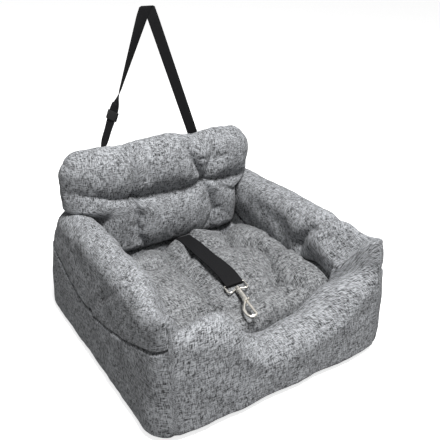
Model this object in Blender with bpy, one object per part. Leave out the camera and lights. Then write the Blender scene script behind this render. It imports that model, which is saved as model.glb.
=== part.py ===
"""Dog car seat: a padded booster bed with a tufted cushion, a tufted backrest, a headrest strap and a tether.

Metres, +Z up. The origin is the middle of the underside. -Y is the low front that the dog steps over,
+Y is the backrest, +X is the right side as seen from the front.
"""
import math

import bmesh
import bpy
from mathutils import Matrix, Vector
from mathutils.bvhtree import BVHTree

# Clearances shared by all pieces
SEWN_GAP = 0.0003
RUNNING_GAP = 0.0004
SOFT_GAP = 0.0010

# Whole seat
SEAT_WIDTH = 0.520
SEAT_DEPTH = 0.485
WALL_THICKNESS = 0.063
CORNER_TOP_RADIUS = 0.024
CORNER_FOOT_RADIUS = 0.040
INNER_CORNER_RADIUS = 0.016
CORNER_START_SHARE = 0.84
WALL_BULGE = 0.007
SIDE_SPREAD = 0.024
FRONT_SPREAD = 0.033
SPREAD_POWER = 1.5
WALL_EDGE_RADIUS = 0.026
FOOT_EDGE_RADIUS = 0.014
MITRE_EDGE_RADIUS = 0.006
GATHER_DEPTH = 0.028
GATHER_REACH = 0.080

# Underside
PANEL_THICKNESS = 0.003
PANEL_INSET = 0.012
PANEL_CORNER_STEPS = 6
BOARD_THICKNESS = 0.022
BOARD_EDGE_BEVEL = 0.004

# Front bolster, with its crest as shares of its half length and of the walls' height, from left to right
FRONT_EDGE_RADIUS = 0.033
FRONT_CREST_SHARES = (
    (-1.00, 0.98),
    (-0.88, 0.88),
    (-0.63, 0.82),
    (-0.49, 0.78),
    (-0.40, 0.70),
    (-0.30, 0.57),
    (-0.20, 0.48),
    (0.00, 0.43),
    (0.16, 0.45),
    (0.32, 0.47),
    (0.46, 0.52),
    (0.63, 0.64),
    (0.79, 0.75),
    (0.92, 0.90),
    (1.00, 1.02),
)

# Side walls and the rolls on them
SEAM_LOW_HEIGHT = 0.108
SEAM_FRONT_HEIGHT = 0.188
SEAM_REAR_HEIGHT = 0.160
SEAM_LOW_PLACE = 0.050
SEAM_EDGE_RADIUS = 0.008
ROLL_HEIGHT = 0.240
RIGHT_ROLL_RISE = 0.008
ROLL_REAR_DROP = 0.008
ROLL_REAR_LENGTH = 0.120
ROLL_EDGE_RADIUS = 0.034
ROLL_END_RADIUS = 0.026
ROLL_PINCH_DEPTH = 0.007
ROLL_PINCH_WIDTH = 0.024
ROLL_PINCH_PLACE = -0.052

# Rear wall under the backrest
REAR_WALL_HEIGHT = 0.110
REAR_EDGE_RADIUS = 0.014

# Seat cushion
CUSHION_EDGE_HEIGHT = 0.083
CUSHION_CROWN = 0.020
CUSHION_SIDE_PUFF = 0.034
CUSHION_REAR_PUFF = 0.018
RELIEF_START_SHARE = 0.4
CUSHION_EDGE_RADIUS = 0.0275
CUSHION_FOOT_RADIUS = 0.014
CUSHION_REAR_ROOM = 0.009
TUFT_DEPTH = 0.030
TUFT_WIDTH = 0.026
CREASE_DEPTH = 0.019
CREASE_WIDTH = 0.019
SIDE_CREASE_DEPTH = 0.009

# Tufts and creases of the seat cushion, as shares of its half width and half depth
CUSHION_TUFT_SHARES = ((-0.265, 0.442), (-0.354, -0.675), (0.519, -0.573), (0.529, 0.454))
LEFT_CREASE_SHARES = (
    (-1.0, -0.32),
    (-0.675, -0.354),
    (-0.12, -0.243),
    (0.10, -0.212),
    (0.442, -0.265),
    (1.0, -0.16),
)
RIGHT_CREASE_SHARES = (
    (-1.0, 0.45),
    (-0.573, 0.519),
    (-0.125, 0.704),
    (0.20, 0.78),
    (0.454, 0.529),
    (1.0, 0.74),
)

# Backrest cushion
BACK_THICKNESS = 0.068
BACK_TOP = 0.362
BACK_EDGE_RADIUS = 0.031
BACK_LEFT_EAR = 0.245
BACK_RIGHT_EAR = 0.206
BACK_EAR_LIFT = 0.004
BACK_EAR_SLOPE = 0.026
BACK_CROWN = 0.012
BACK_TUFT_DEPTH = 0.030
BACK_TUFT_WIDTH = 0.030
BACK_CHANNEL_DEPTH = 0.012
BACK_CHANNEL_WIDTH = 0.022
BACK_TUFT_HEIGHT = 0.262
BACK_LEFT_TUFT = -0.100
BACK_RIGHT_TUFT = 0.066
BACK_SIDE_ROOM = 0.009
BACK_REAR_INSET = 0.006
HINGE_STRIP_THICKNESS = 0.0014
HINGE_STRIP_HALF = 0.150
HINGE_STRIP_REACH = 0.018
HINGE_BEHIND = 0.004
HINGE_LIFT = 0.002
BACK_ZIP_ROW = 2
BACK_ZIP_ROOM = 0.049
CUSHION_ZIP_ROOM = 0.049

# Covers and zips
COVER_WALL = 0.0016
ZIP_COIL_WIDTH = 0.0050
ZIP_COIL_HEIGHT = 0.0018
ZIP_END_INSET = 0.006
ZIP_TAPE_BEVEL = 0.0012
SLIDER_LENGTH = 0.012
SLIDER_PLATE = 0.0012
SLIDER_WALL = 0.0015
PULL_LENGTH = 0.024
PULL_WIDTH = 0.0064
PULL_THICKNESS = 0.0012
PULL_BEVEL = 0.0020
BRIDGE_LENGTH = 0.0060
BRIDGE_WIDTH = 0.0024
BRIDGE_HEIGHT = 0.0030
BRIDGE_WIRE = 0.0009

# Tether webbing
WEBBING_THICKNESS = 0.0016
TETHER_WIDTH = 0.038
TETHER_ROOT_X = 0.016
TETHER_ROOT_ROOM = 0.0215
TETHER_LIFT = 0.0006
TETHER_FOLD_LENGTH = 0.034
TETHER_MERGE_LENGTH = 0.016
ANCHOR_TAIL = 0.030
ANCHOR_STEPS = 8
TETHER_STEPS = 11
TETHER_RISE_SHARE = 0.45
TETHER_SAMPLES = 3
FOLD_STEPS = 6

# Snap hook
SNAP_X = -0.001
SNAP_FRONT_ROOM = 0.0770
SNAP_YAW = math.radians(-99)
SNAP_PITCH = math.radians(3)
SNAP_ROLL = math.radians(8)
SNAP_LIFT = 0.0030
EYE_WIRE = 0.0036
EYE_DEPTH = 0.019
EYE_SIDE_ROOM = 0.0012
EYE_CORNER_RADIUS = 0.0060
EYE_REAR_RADIUS = 0.0030
EYE_SHOULDER = 0.0040
EYE_CORNER_STEPS = 4
BOSS_RADIUS = 0.0056
BOSS_LENGTH = 0.0070
POST_RADIUS = 0.0022
POST_HEAD_RADIUS = 0.0040
POST_HEAD_LENGTH = 0.0020
BARREL_RADIUS = 0.0054
BARREL_LENGTH = 0.037
BARREL_COLLAR = 0.0012
BOLT_RADIUS = 0.0027
BOLT_TRAVEL = 0.008
BOLT_TAIL = 0.018
HOOK_WIRE = 0.0066
HOOK_REACH = 0.038
HOOK_BREADTH = 0.0172
HOOK_THINNING_SHARE = 0.85
HOOK_STEPS = 3
HOOK_SHARES = (
    (-0.20, 0.20),
    (0.02, 0.32),
    (0.25, 0.66),
    (0.48, 0.92),
    (0.72, 1.00),
    (0.93, 0.99),
    (1.10, 0.84),
    (1.168, 0.50),
    (1.13, 0.17),
    (1.06, 0.02),
    (1.00, 0.0),
)
KNOB_RADIUS = 0.0022
KNOB_INSET = 0.0055
KNOB_HEAD_RADIUS = 0.0034
KNOB_HEAD_HEIGHT = 0.0016
SPRING_WIRE = 0.0007
SPRING_TURNS = 8
SPRING_POINTS = 8
CUT_OVERRUN = 0.002

# Headrest strap
STRAP_WIDTH = 0.025
STRAP_HALF_SPREAD = 0.110
STRAP_CENTRE_X = -0.0215
STRAP_TOP = 0.630
STRAP_CREASE = 0.036
STRAP_FOOT_HEIGHT = 0.285
STRAP_LEAVES_HEIGHT = 0.350
TAIL_LENGTH = 0.161
TAIL_SPACE = 0.0038
TWIST_ROOM = 0.019
TWIST_LENGTH = 0.070
TWIST_STEPS = 12
GLIDE_ROOM = 0.022
GLIDE_SIDE = 0.0040
GLIDE_WALL = 0.0018
GLIDE_LENGTH = 0.012
GLIDE_BEVEL = 0.0009
PATCH_WIDTH = 0.036
PATCH_HEIGHT = 0.046
PATCH_THICKNESS = 0.0016

# Fineness of the meshes, in cells along each piece
FRONT_CELLS = (18, 4, 7)
SIDE_WALL_CELLS = (14, 3, 4)
ROLL_CELLS = (14, 4, 4)
REAR_WALL_CELLS = (8, 3, 3)
CUSHION_CELLS = (16, 15, 3)
BACK_CELLS = (16, 2, 10)
ROUND_SIDES = 16
WIRE_SIDES = 2

HALF_WIDTH = SEAT_WIDTH / 2
HALF_DEPTH = SEAT_DEPTH / 2
WALL_REACH = HALF_WIDTH - WALL_BULGE
FRONT_REACH = HALF_DEPTH - WALL_BULGE
WALL_ROOM = WALL_THICKNESS + WALL_BULGE
WALL_FOOT = PANEL_THICKNESS + SEWN_GAP
BOARD_TOP = WALL_FOOT + BOARD_THICKNESS
CUSHION_FOOT = BOARD_TOP + SEWN_GAP
WELL_HALF_WIDTH = HALF_WIDTH - WALL_ROOM
WELL_HALF_DEPTH = HALF_DEPTH - WALL_ROOM
CUSHION_HALF_WIDTH = WELL_HALF_WIDTH - SOFT_GAP
CUSHION_FRONT = -WELL_HALF_DEPTH + SOFT_GAP
CUSHION_REAR = WELL_HALF_DEPTH - CUSHION_REAR_ROOM
CUSHION_ZIP_HALF = CUSHION_HALF_WIDTH - CUSHION_ZIP_ROOM
SNAP_Y = CUSHION_FRONT + SNAP_FRONT_ROOM
TETHER_ROOT_Y = CUSHION_REAR - TETHER_ROOT_ROOM
BACK_FOOT = REAR_WALL_HEIGHT + SEWN_GAP
BACK_REAR = HALF_DEPTH - BACK_REAR_INSET
BACK_FRONT = BACK_REAR - BACK_THICKNESS
BACK_HALF_BETWEEN = WELL_HALF_WIDTH - WALL_BULGE - BACK_SIDE_ROOM
BACK_ZIP_HALF = BACK_HALF_BETWEEN - BACK_ZIP_ROOM
TAIL_TOP = STRAP_FOOT_HEIGHT + TAIL_LENGTH
GLIDE_HEIGHT = TAIL_TOP - GLIDE_ROOM
TWIST_HEIGHT = TAIL_TOP + TWIST_ROOM + TWIST_LENGTH / 2


def material(name, colour, roughness, metallic=0.0):
    made = bpy.data.materials.new(name)
    made.use_nodes = True
    shader = made.node_tree.nodes["Principled BSDF"]
    shader.inputs["Base Color"].default_value = (*colour, 1.0)
    shader.inputs["Roughness"].default_value = roughness
    shader.inputs["Metallic"].default_value = metallic
    return made


def add_object(name, mesh_data, finish, parent=None):
    """A new object in the scene, shaded smooth but for its sharp edges."""
    mesh_data.name = name
    mesh_data.materials.clear()
    mesh_data.materials.append(finish)
    mesh_data.shade_smooth()
    mesh_data.set_sharp_from_angle(angle=math.radians(40))
    made = bpy.data.objects.new(name, mesh_data)
    made.parent = parent
    bpy.context.scene.collection.objects.link(made)
    return made


def hang_on(name, place, pieces):
    """Parents pieces to an empty that stands on their joint's axis, and leaves them where they are."""
    axis = bpy.data.objects.new(name, None)
    axis.location = place
    bpy.context.scene.collection.objects.link(axis)
    for piece in pieces:
        piece.parent = axis
        piece.matrix_parent_inverse = Matrix.Translation(-place)
    return axis


def mesh_from(work, name="shape"):
    """The bmesh as mesh data, with its faces turned outwards."""
    bmesh.ops.recalc_face_normals(work, faces=work.faces)
    data = bpy.data.meshes.new(name)
    work.to_mesh(data)
    work.free()
    return data


def smooth_step(share):
    share = min(max(share, 0.0), 1.0)
    return share * share * (3 - 2 * share)


def dent(distance, width):
    """A soft hollow: 1 at its middle and next to nothing two widths away."""
    return math.exp(-((distance / width) ** 2))


def through(knots, place):
    """Value at a place on a line of knots, each a place and a value, with even slopes between them."""
    for (low, first), (high, last) in zip(knots, knots[1:]):
        if place <= high:
            return first + (last - first) * max(place - low, 0.0) / (high - low)
    return knots[-1][1]


def unit_block(cells):
    """A closed block from -1 to 1 each way, divided into cells."""
    work = bmesh.new()
    bmesh.ops.create_cube(work, size=2.0)
    for axis, count in enumerate(cells):
        along = [e for e in work.edges if abs((e.verts[0].co - e.verts[1].co)[axis]) > 0]
        bmesh.ops.subdivide_edges(work, edges=along, cuts=count - 1, use_grid_fill=True)
    return work


def rounded(unit, half, radii_low, radii_high):
    """A point of the unit block on a block of the given half sizes with rounded edges.

    Each axis has one edge radius at its low end and one at its high end, so that an edge can be
    tighter where two pieces are sewn together.
    """
    core = Vector()
    out = Vector()
    reach = Vector()
    for axis in range(3):
        radius = radii_high[axis] if unit[axis] > 0 else radii_low[axis]
        radius = min(radius, half[axis])
        place = unit[axis] * half[axis]
        core[axis] = min(max(place, radius - half[axis]), half[axis] - radius)
        reach[axis] = radius
        out[axis] = (place - core[axis]) / radius
    if out.length == 0:
        return core
    out.normalize()
    return core + Vector(a * b for a, b in zip(out, reach))


def shaped_block(cells, place):
    """The unit block with each of its points moved to the place that the piece gives it."""
    work = unit_block(cells)
    for vert in work.verts:
        vert.co = place(vert.co.copy())
    bmesh.ops.recalc_face_normals(work, faces=work.faces)
    return work


def rail(share, reach, radius, square_end):
    """One plan outline of a wall, from share -1 to 1: how far along, and how far it has turned inwards.

    The high end turns half a corner. The low end does too, unless it ends square.
    """
    straight = reach - radius
    if share > CORNER_START_SHARE or (share < -CORNER_START_SHARE and square_end is None):
        turn = (abs(share) - CORNER_START_SHARE) / (1 - CORNER_START_SHARE) * math.pi / 4
        return math.copysign(straight + radius * math.sin(turn), share), radius * (1 - math.cos(turn))
    if square_end is None:
        return share / CORNER_START_SHARE * straight, 0.0
    part = (share + 1) / (CORNER_START_SHARE + 1)
    return -square_end + part * (straight + square_end), 0.0


def wall_level(z):
    """Height on the walls, from 0 at the foot to 1 at the top of the rolls."""
    return min(max(z / ROLL_HEIGHT, 0.0), 1.0)


def stand_out(z, spread):
    """How far the walls' outside stands out: settled at the foot, and swelling between foot and top."""
    level = wall_level(z)
    return spread * (1 - level) ** SPREAD_POWER + WALL_BULGE * (1 - (2 * level - 1) ** 2)


def wall_plan(share, depth, z, half_length, square_end=None):
    """Along and inward place of a point of a wall: share of the length, depth from the outside, height."""
    corner = CORNER_FOOT_RADIUS + (CORNER_TOP_RADIUS - CORNER_FOOT_RADIUS) * wall_level(z)
    outer_along, outer_in = rail(share, half_length, corner, square_end)
    inner_along, inner_in = rail(share, half_length - WALL_THICKNESS, INNER_CORNER_RADIUS, square_end)
    part = depth / WALL_THICKNESS
    along = outer_along + (inner_along - outer_along) * part
    inward = outer_in + (WALL_THICKNESS + inner_in - outer_in) * part
    return along, inward


def gathered(z, depth, level, far):
    """Height of a point near a corner, where the cloth is gathered and the inside of the top sits lower."""
    inside = max(depth / WALL_THICKNESS, 0.0) ** 1.5
    return z - GATHER_DEPTH * dent(far, GATHER_REACH) * inside * max(level, 0.0)


def seam_height(y):
    """The seam between a side wall and its roll sags between the corners."""
    if y < SEAM_LOW_PLACE:
        part = (SEAM_LOW_PLACE - y) / (SEAM_LOW_PLACE + HALF_DEPTH)
        return SEAM_LOW_HEIGHT + (SEAM_FRONT_HEIGHT - SEAM_LOW_HEIGHT) * part**2
    part = (y - SEAM_LOW_PLACE) / (HALF_DEPTH - SEAM_LOW_PLACE)
    return SEAM_LOW_HEIGHT + (SEAM_REAR_HEIGHT - SEAM_LOW_HEIGHT) * part**2


def stuffed_section(unit, half_length, low, high, radii_low, radii_high, bulge_in, spread):
    """Share of the length, depth from the outside, height and level of a point of a stuffed wall."""
    half = Vector((half_length, WALL_THICKNESS / 2, (high - low) / 2))
    spot = rounded(unit, half, radii_low, radii_high)
    level = spot.z / half.z
    z = (low + high) / 2 + spot.z
    depth = WALL_THICKNESS / 2 + spot.y + bulge_in * (1 - level**2) * max(spot.y, 0.0) / half.y
    depth -= stand_out(z, spread) * (1 - depth / WALL_THICKNESS)
    return spot.x / half_length, depth, z, level


def front_point(unit):
    half_length = WALL_REACH - SEWN_GAP
    high = ROLL_HEIGHT * through(FRONT_CREST_SHARES, unit.x)
    low = Vector((MITRE_EDGE_RADIUS, FRONT_EDGE_RADIUS, FOOT_EDGE_RADIUS))
    top = Vector((MITRE_EDGE_RADIUS, FRONT_EDGE_RADIUS, FRONT_EDGE_RADIUS))
    spread = FRONT_SPREAD + (SIDE_SPREAD - FRONT_SPREAD) * abs(unit.x) ** 8
    share, depth, z, level = stuffed_section(unit, half_length, WALL_FOOT, high, low, top, 0.0, spread)
    z = gathered(z, depth, level, (1 - abs(share)) * half_length)
    along, inward = wall_plan(share * half_length / WALL_REACH, depth, z, WALL_REACH)
    return Vector((along, inward - FRONT_REACH, z))


def side_point(unit, side, part):
    """A point of a side wall or of its roll. Their length runs from the rear, -1, to the front corner, 1."""
    half_length = HALF_DEPTH - SEWN_GAP
    y = -unit.x * half_length
    seam = seam_height(y)
    if part == "wall":
        low, high = WALL_FOOT, seam - SEWN_GAP / 2
        radii_low = Vector((WALL_EDGE_RADIUS, WALL_EDGE_RADIUS, FOOT_EDGE_RADIUS))
        radii_high = Vector((MITRE_EDGE_RADIUS, WALL_EDGE_RADIUS, SEAM_EDGE_RADIUS))
        bulge_in = 0.0
    else:
        rear = smooth_step((y - HALF_DEPTH) / ROLL_REAR_LENGTH + 1)
        rise = RIGHT_ROLL_RISE if side > 0 else 0.0
        low, high = seam + SEWN_GAP / 2, ROLL_HEIGHT + rise - ROLL_REAR_DROP * rear
        radii_low = Vector((ROLL_END_RADIUS, ROLL_EDGE_RADIUS, SEAM_EDGE_RADIUS))
        radii_high = Vector((MITRE_EDGE_RADIUS, ROLL_EDGE_RADIUS, ROLL_EDGE_RADIUS))
        bulge_in = WALL_BULGE
    section = stuffed_section(unit, half_length, low, high, radii_low, radii_high, bulge_in, SIDE_SPREAD)
    share, depth, z, level = section
    if part == "roll":
        pinch = dent(y - ROLL_PINCH_PLACE, ROLL_PINCH_WIDTH) * ROLL_PINCH_DEPTH
        depth -= pinch * (depth / WALL_THICKNESS - 0.5) * 2
        z -= pinch * max(unit.z, 0.0)
        z = gathered(z, depth, level, (1 - share) * half_length)
    along, inward = wall_plan(share * half_length / HALF_DEPTH, depth, z, FRONT_REACH, HALF_DEPTH)
    return Vector((side * (WALL_REACH - inward), -along, z))


def rear_wall_point(unit):
    half = Vector((WELL_HALF_WIDTH - SOFT_GAP, WALL_ROOM / 2, (REAR_WALL_HEIGHT - WALL_FOOT) / 2))
    radii = Vector((REAR_EDGE_RADIUS, REAR_EDGE_RADIUS, REAR_EDGE_RADIUS))
    middle = Vector((0.0, HALF_DEPTH - WALL_ROOM / 2, (REAR_WALL_HEIGHT + WALL_FOOT) / 2))
    return middle + rounded(unit, half, radii, radii)


def cushion_relief(x, y):
    """Height of the seat cushion's top over its corners: puffs, less the tufts and creases."""
    middle = (CUSHION_FRONT + CUSHION_REAR) / 2
    half_depth = (CUSHION_REAR - CUSHION_FRONT) / 2
    across = x / CUSHION_HALF_WIDTH
    along = (y - middle) / half_depth
    swell = CUSHION_CROWN + CUSHION_SIDE_PUFF * across**2 + CUSHION_REAR_PUFF * max(along, 0.0)
    crown = swell * (1 - along**4)
    dip = 0.0
    for crease in (LEFT_CREASE_SHARES, RIGHT_CREASE_SHARES):
        off = (across - through(crease, along)) * CUSHION_HALF_WIDTH
        dip = max(dip, CREASE_DEPTH * dent(off, CREASE_WIDTH))
    for tuft_across, tuft_along in CUSHION_TUFT_SHARES:
        off = (along - tuft_along) * half_depth
        if abs(across) > abs(tuft_across) and across * tuft_across > 0:
            dip = max(dip, SIDE_CREASE_DEPTH * dent(off, CREASE_WIDTH))
        far = math.hypot((across - tuft_across) * CUSHION_HALF_WIDTH, off)
        dip = max(dip, TUFT_DEPTH * dent(far, TUFT_WIDTH))
    return crown - dip


def cushion_point(unit):
    half = Vector((CUSHION_HALF_WIDTH, (CUSHION_REAR - CUSHION_FRONT) / 2, CUSHION_EDGE_HEIGHT / 2))
    edge = CUSHION_EDGE_RADIUS
    radii_low = Vector((edge, edge, CUSHION_FOOT_RADIUS))
    radii_high = Vector((edge, edge, edge))
    spot = rounded(unit, half, radii_low, radii_high)
    spot.y += (CUSHION_REAR + CUSHION_FRONT) / 2
    lift = smooth_step((spot.z / half.z - RELIEF_START_SHARE) / (1 - RELIEF_START_SHARE))
    relief = cushion_relief(spot.x, spot.y) * lift
    return Vector((spot.x, spot.y, CUSHION_FOOT + half.z + spot.z + relief))


def back_side_reach(z, roll_top, ear):
    """Half width of the backrest: between the rolls low down, and spread over them as an ear higher up."""
    spread = smooth_step((z - roll_top - BACK_EAR_LIFT) / BACK_EAR_SLOPE)
    return BACK_HALF_BETWEEN + (ear - BACK_HALF_BETWEEN) * spread


def back_relief(x, z):
    """How far the backrest's front stands out: puffs between two tufts and the channels through them."""
    dip = BACK_CHANNEL_DEPTH * dent(z - BACK_TUFT_HEIGHT, BACK_CHANNEL_WIDTH)
    for tuft_x in (BACK_LEFT_TUFT, BACK_RIGHT_TUFT):
        far = math.hypot(x - tuft_x, z - BACK_TUFT_HEIGHT)
        dip = max(dip, BACK_CHANNEL_DEPTH * dent(x - tuft_x, BACK_CHANNEL_WIDTH))
        dip = max(dip, BACK_TUFT_DEPTH * dent(far, BACK_TUFT_WIDTH))
    return BACK_CROWN - dip


def back_point(unit):
    half = Vector((BACK_LEFT_EAR, BACK_THICKNESS / 2, (BACK_TOP - BACK_FOOT) / 2))
    radii = Vector((BACK_EDGE_RADIUS, BACK_EDGE_RADIUS, BACK_EDGE_RADIUS))
    spot = rounded(unit, half, radii, radii)
    z = BACK_FOOT + half.z + spot.z
    ear = BACK_LEFT_EAR if spot.x < 0 else BACK_RIGHT_EAR
    roll_top = ROLL_HEIGHT if spot.x < 0 else ROLL_HEIGHT + RIGHT_ROLL_RISE
    x = spot.x / half.x * back_side_reach(z, roll_top, ear)
    front = max(-spot.y / half.y, 0.0)
    inside = (1 - (spot.x / half.x) ** 6) * (1 - (spot.z / half.z) ** 6)
    y = (BACK_FRONT + BACK_REAR) / 2 + spot.y - back_relief(x, z) * front**2 * inside
    return Vector((x, y, z))


def drawn_in(work, distance):
    """Places of the points of a closed mesh moved inwards by a distance, square to the surface."""
    work.normal_update()
    return [vert.co - vert.normal * distance * vert.calc_shell_factor() for vert in work.verts]


def simplify_flat(work, direction):
    """Joins the faces of a flat side that looks along a direction into one face."""
    work.normal_update()
    flat = [f for f in work.faces if all((v.normal - direction).length < 1e-5 for v in f.verts)]
    bmesh.ops.dissolve_faces(work, faces=flat, use_verts=True)
    work.verts.index_update()
    work.normal_update()


def zipped_cushion(name, work, in_slot, fabric, filling):
    """A cover with a slot for its zip, the filling inside it, and the tape that closes the slot.

    The filling and the tape follow the cover's own surface, so they fit at any size.
    """
    closed = []
    for face in work.faces:
        face.material_index = int(in_slot(face.calc_center_median()))
        if not face.material_index:
            closed.append(face)
    bmesh.ops.triangulate(work, faces=closed)
    work.verts.index_update()
    outer = [vert.co.copy() for vert in work.verts]
    inner = drawn_in(work, COVER_WALL)
    core = drawn_in(work, COVER_WALL + SEWN_GAP)
    loops = [([v.index for v in face.verts], face.material_index) for face in work.faces]
    count = len(outer)
    faces = []
    slot_edges = set()
    for loop, open_here in loops:
        if open_here:
            slot_edges |= set(zip(loop, loop[1:] + loop[:1]))
            continue
        faces.append(loop)
        faces.append([count + i for i in reversed(loop)])
    for a, b in sorted(slot_edges):
        if (b, a) not in slot_edges:
            faces.append([a, b, count + b, count + a])
    cover = bpy.data.meshes.new(name)
    cover.from_pydata(outer + inner, [], faces)
    used = bmesh.new()
    used.from_mesh(cover)
    bmesh.ops.delete(used, geom=[v for v in used.verts if not v.link_faces], context="VERTS")
    used.to_mesh(cover)
    used.free()
    add_object(name + "_cover", cover, fabric)
    inside = bpy.data.meshes.new(name)
    inside.from_pydata(core, [], [loop for loop, _ in loops])
    add_object(name + "_filling", inside, filling)
    patch = [loop for loop, open_here in loops if open_here]
    corners = [outer[i] for loop in patch for i in loop]
    work.free()
    return corners


def box(name, low, high, finish, bevel=0.0, parent=None, segments=1):
    """A block between two corners with its edges broken."""
    work = bmesh.new()
    bmesh.ops.create_cube(work, size=1.0)
    size = high - low
    for vert in work.verts:
        vert.co = Vector(low[i] + (vert.co[i] + 1 / 2) * size[i] for i in range(3))
    if bevel:
        bmesh.ops.bevel(work, geom=work.edges[:], offset=bevel, segments=segments, affect="EDGES")
    return add_object(name, mesh_from(work), finish, parent)


def ribbon(sections, thickness):
    """A band of webbing through sections, each a middle, half of its breadth and a face direction."""
    work = bmesh.new()
    rings = []
    for middle, side, face in sections:
        skin = face.normalized() * thickness / 2
        corners = (middle - side - skin, middle + side - skin, middle + side + skin, middle - side + skin)
        rings.append([work.verts.new(corner) for corner in corners])
    for first, second in zip(rings, rings[1:]):
        for a in range(4):
            b = (a + 1) % 4
            work.faces.new((first[a], first[b], second[b], second[a]))
    work.faces.new(rings[0])
    work.faces.new(rings[-1])
    return mesh_from(work)


def prism(outline, direction):
    """A closed outline pushed along a direction."""
    work = bmesh.new()
    face = work.faces.new([work.verts.new(point) for point in outline])
    pushed = bmesh.ops.extrude_face_region(work, geom=[face])
    moved = [v for v in pushed["geom"] if isinstance(v, bmesh.types.BMVert)]
    bmesh.ops.translate(work, verts=moved, vec=direction)
    return mesh_from(work)


def turned(profile, sides=ROUND_SIDES):
    """A solid turned about the X axis from places along it and radii, closed at both ends."""
    work = bmesh.new()
    points = [Vector((along, 0.0, radius)) for along, radius in profile]
    ends = (Vector((profile[0][0], 0.0, 0.0)), Vector((profile[-1][0], 0.0, 0.0)))
    line = [work.verts.new(point) for point in (ends[0], *points, ends[1])]
    edges = [work.edges.new(pair) for pair in zip(line, line[1:])]
    axis = Vector((1.0, 0.0, 0.0))
    bmesh.ops.spin(
        work,
        geom=line + edges,
        cent=Vector(),
        axis=axis,
        angle=math.tau,
        steps=sides,
        use_merge=True,
    )
    bmesh.ops.remove_doubles(work, verts=work.verts, dist=SPRING_WIRE / ROUND_SIDES)
    return mesh_from(work)


def smooth_path(points, steps):
    """Points on a smooth curve through the given ones, with a number of steps between each two."""
    path = []
    last = len(points) - 1
    for i in range(last):
        before = points[max(i - 1, 0)]
        start, end = points[i], points[i + 1]
        after = points[min(i + 2, last)]
        for step in range(steps):
            t = step / steps
            bend = (before * -1 + start * 3 - end * 3 + after) * t**3
            slope = (before * 2 - start * 5 + end * 4 - after) * t**2
            path.append((bend + slope + (end - before) * t) / 2 + start)
    path.append(points[last])
    return path


def wire(path, radius, closed=False, sides=WIRE_SIDES, thinning=1.0):
    """Mesh of a round wire along a path, thinning to a share of its radius at the far end."""
    curve = bpy.data.curves.new("wire", "CURVE")
    curve.dimensions = "3D"
    curve.bevel_depth = radius
    curve.bevel_resolution = sides
    curve.use_fill_caps = not closed
    spline = curve.splines.new("POLY")
    spline.points.add(len(path) - 1)
    spline.use_cyclic_u = closed
    for i, (point, place) in enumerate(zip(spline.points, path)):
        point.co = (*place, 1.0)
        point.radius = 1 + (thinning - 1) * i / len(path)
    rod = bpy.data.objects.new("wire", curve)
    bpy.context.scene.collection.objects.link(rod)
    bpy.context.view_layer.update()
    made = bpy.data.meshes.new_from_object(rod.evaluated_get(bpy.context.evaluated_depsgraph_get()))
    bpy.data.objects.remove(rod)
    bpy.data.curves.remove(curve)
    work = bmesh.new()
    work.from_mesh(made)
    bmesh.ops.remove_doubles(work, verts=work.verts, dist=radius / ROUND_SIDES)
    return mesh_from(work)


def cut(piece, tool_mesh, operation="DIFFERENCE"):
    """Cuts or joins a tool's shape, given in the piece's own frame, by a Boolean on the piece."""
    tool = bpy.data.objects.new(piece.name + "_tool", tool_mesh)
    tool.parent = piece
    tool.hide_render = True
    tool.display_type = "WIRE"
    bpy.context.scene.collection.objects.link(tool)
    step = piece.modifiers.new(operation.title(), "BOOLEAN")
    step.operation = operation
    step.object = tool


def block_mesh(low, high):
    work = bmesh.new()
    bmesh.ops.create_cube(work, size=1.0)
    for vert in work.verts:
        vert.co = Vector(low[i] + (vert.co[i] + 1 / 2) * (high[i] - low[i]) for i in range(3))
    return mesh_from(work)


def panel_outline():
    """The underside panel's outline: square at the rear and round at the front corners, as the walls are."""
    side, rear = WALL_REACH - PANEL_INSET, HALF_DEPTH - PANEL_INSET
    front = FRONT_REACH - PANEL_INSET
    radius = CORNER_FOOT_RADIUS
    outline = [Vector((side, rear, 0.0)), Vector((-side, rear, 0.0))]
    for corner, first in ((-1, 2), (1, 3)):
        centre = Vector((corner * (side - radius), radius - front, 0.0))
        for step in range(PANEL_CORNER_STEPS + 1):
            angle = math.pi / 2 * (first + step / PANEL_CORNER_STEPS)
            outline.append(centre + Vector((math.cos(angle), math.sin(angle), 0.0)) * radius)
    return outline


def make_base(fabric, grip, foam):
    """The underside panel, the board on it and the stuffed walls and rolls round the well."""
    add_object("underside_panel", prism(panel_outline(), Vector((0.0, 0.0, PANEL_THICKNESS))), grip)
    board = Vector((WELL_HALF_WIDTH - SOFT_GAP, WELL_HALF_DEPTH - SOFT_GAP, BOARD_TOP))
    box("base_board", Vector((-board.x, -board.y, WALL_FOOT)), board, foam, BOARD_EDGE_BEVEL)
    add_object("front_bolster", mesh_from(shaped_block(FRONT_CELLS, front_point)), fabric)
    add_object("rear_wall", mesh_from(shaped_block(REAR_WALL_CELLS, rear_wall_point)), fabric)
    for side, name in ((-1, "left"), (1, "right")):
        wall = shaped_block(SIDE_WALL_CELLS, lambda unit: side_point(unit, side, "wall"))
        add_object(name + "_side_wall", mesh_from(wall), fabric)
        roll = shaped_block(ROLL_CELLS, lambda unit: side_point(unit, side, "roll"))
        add_object(name + "_roll", mesh_from(roll), fabric)


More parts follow.
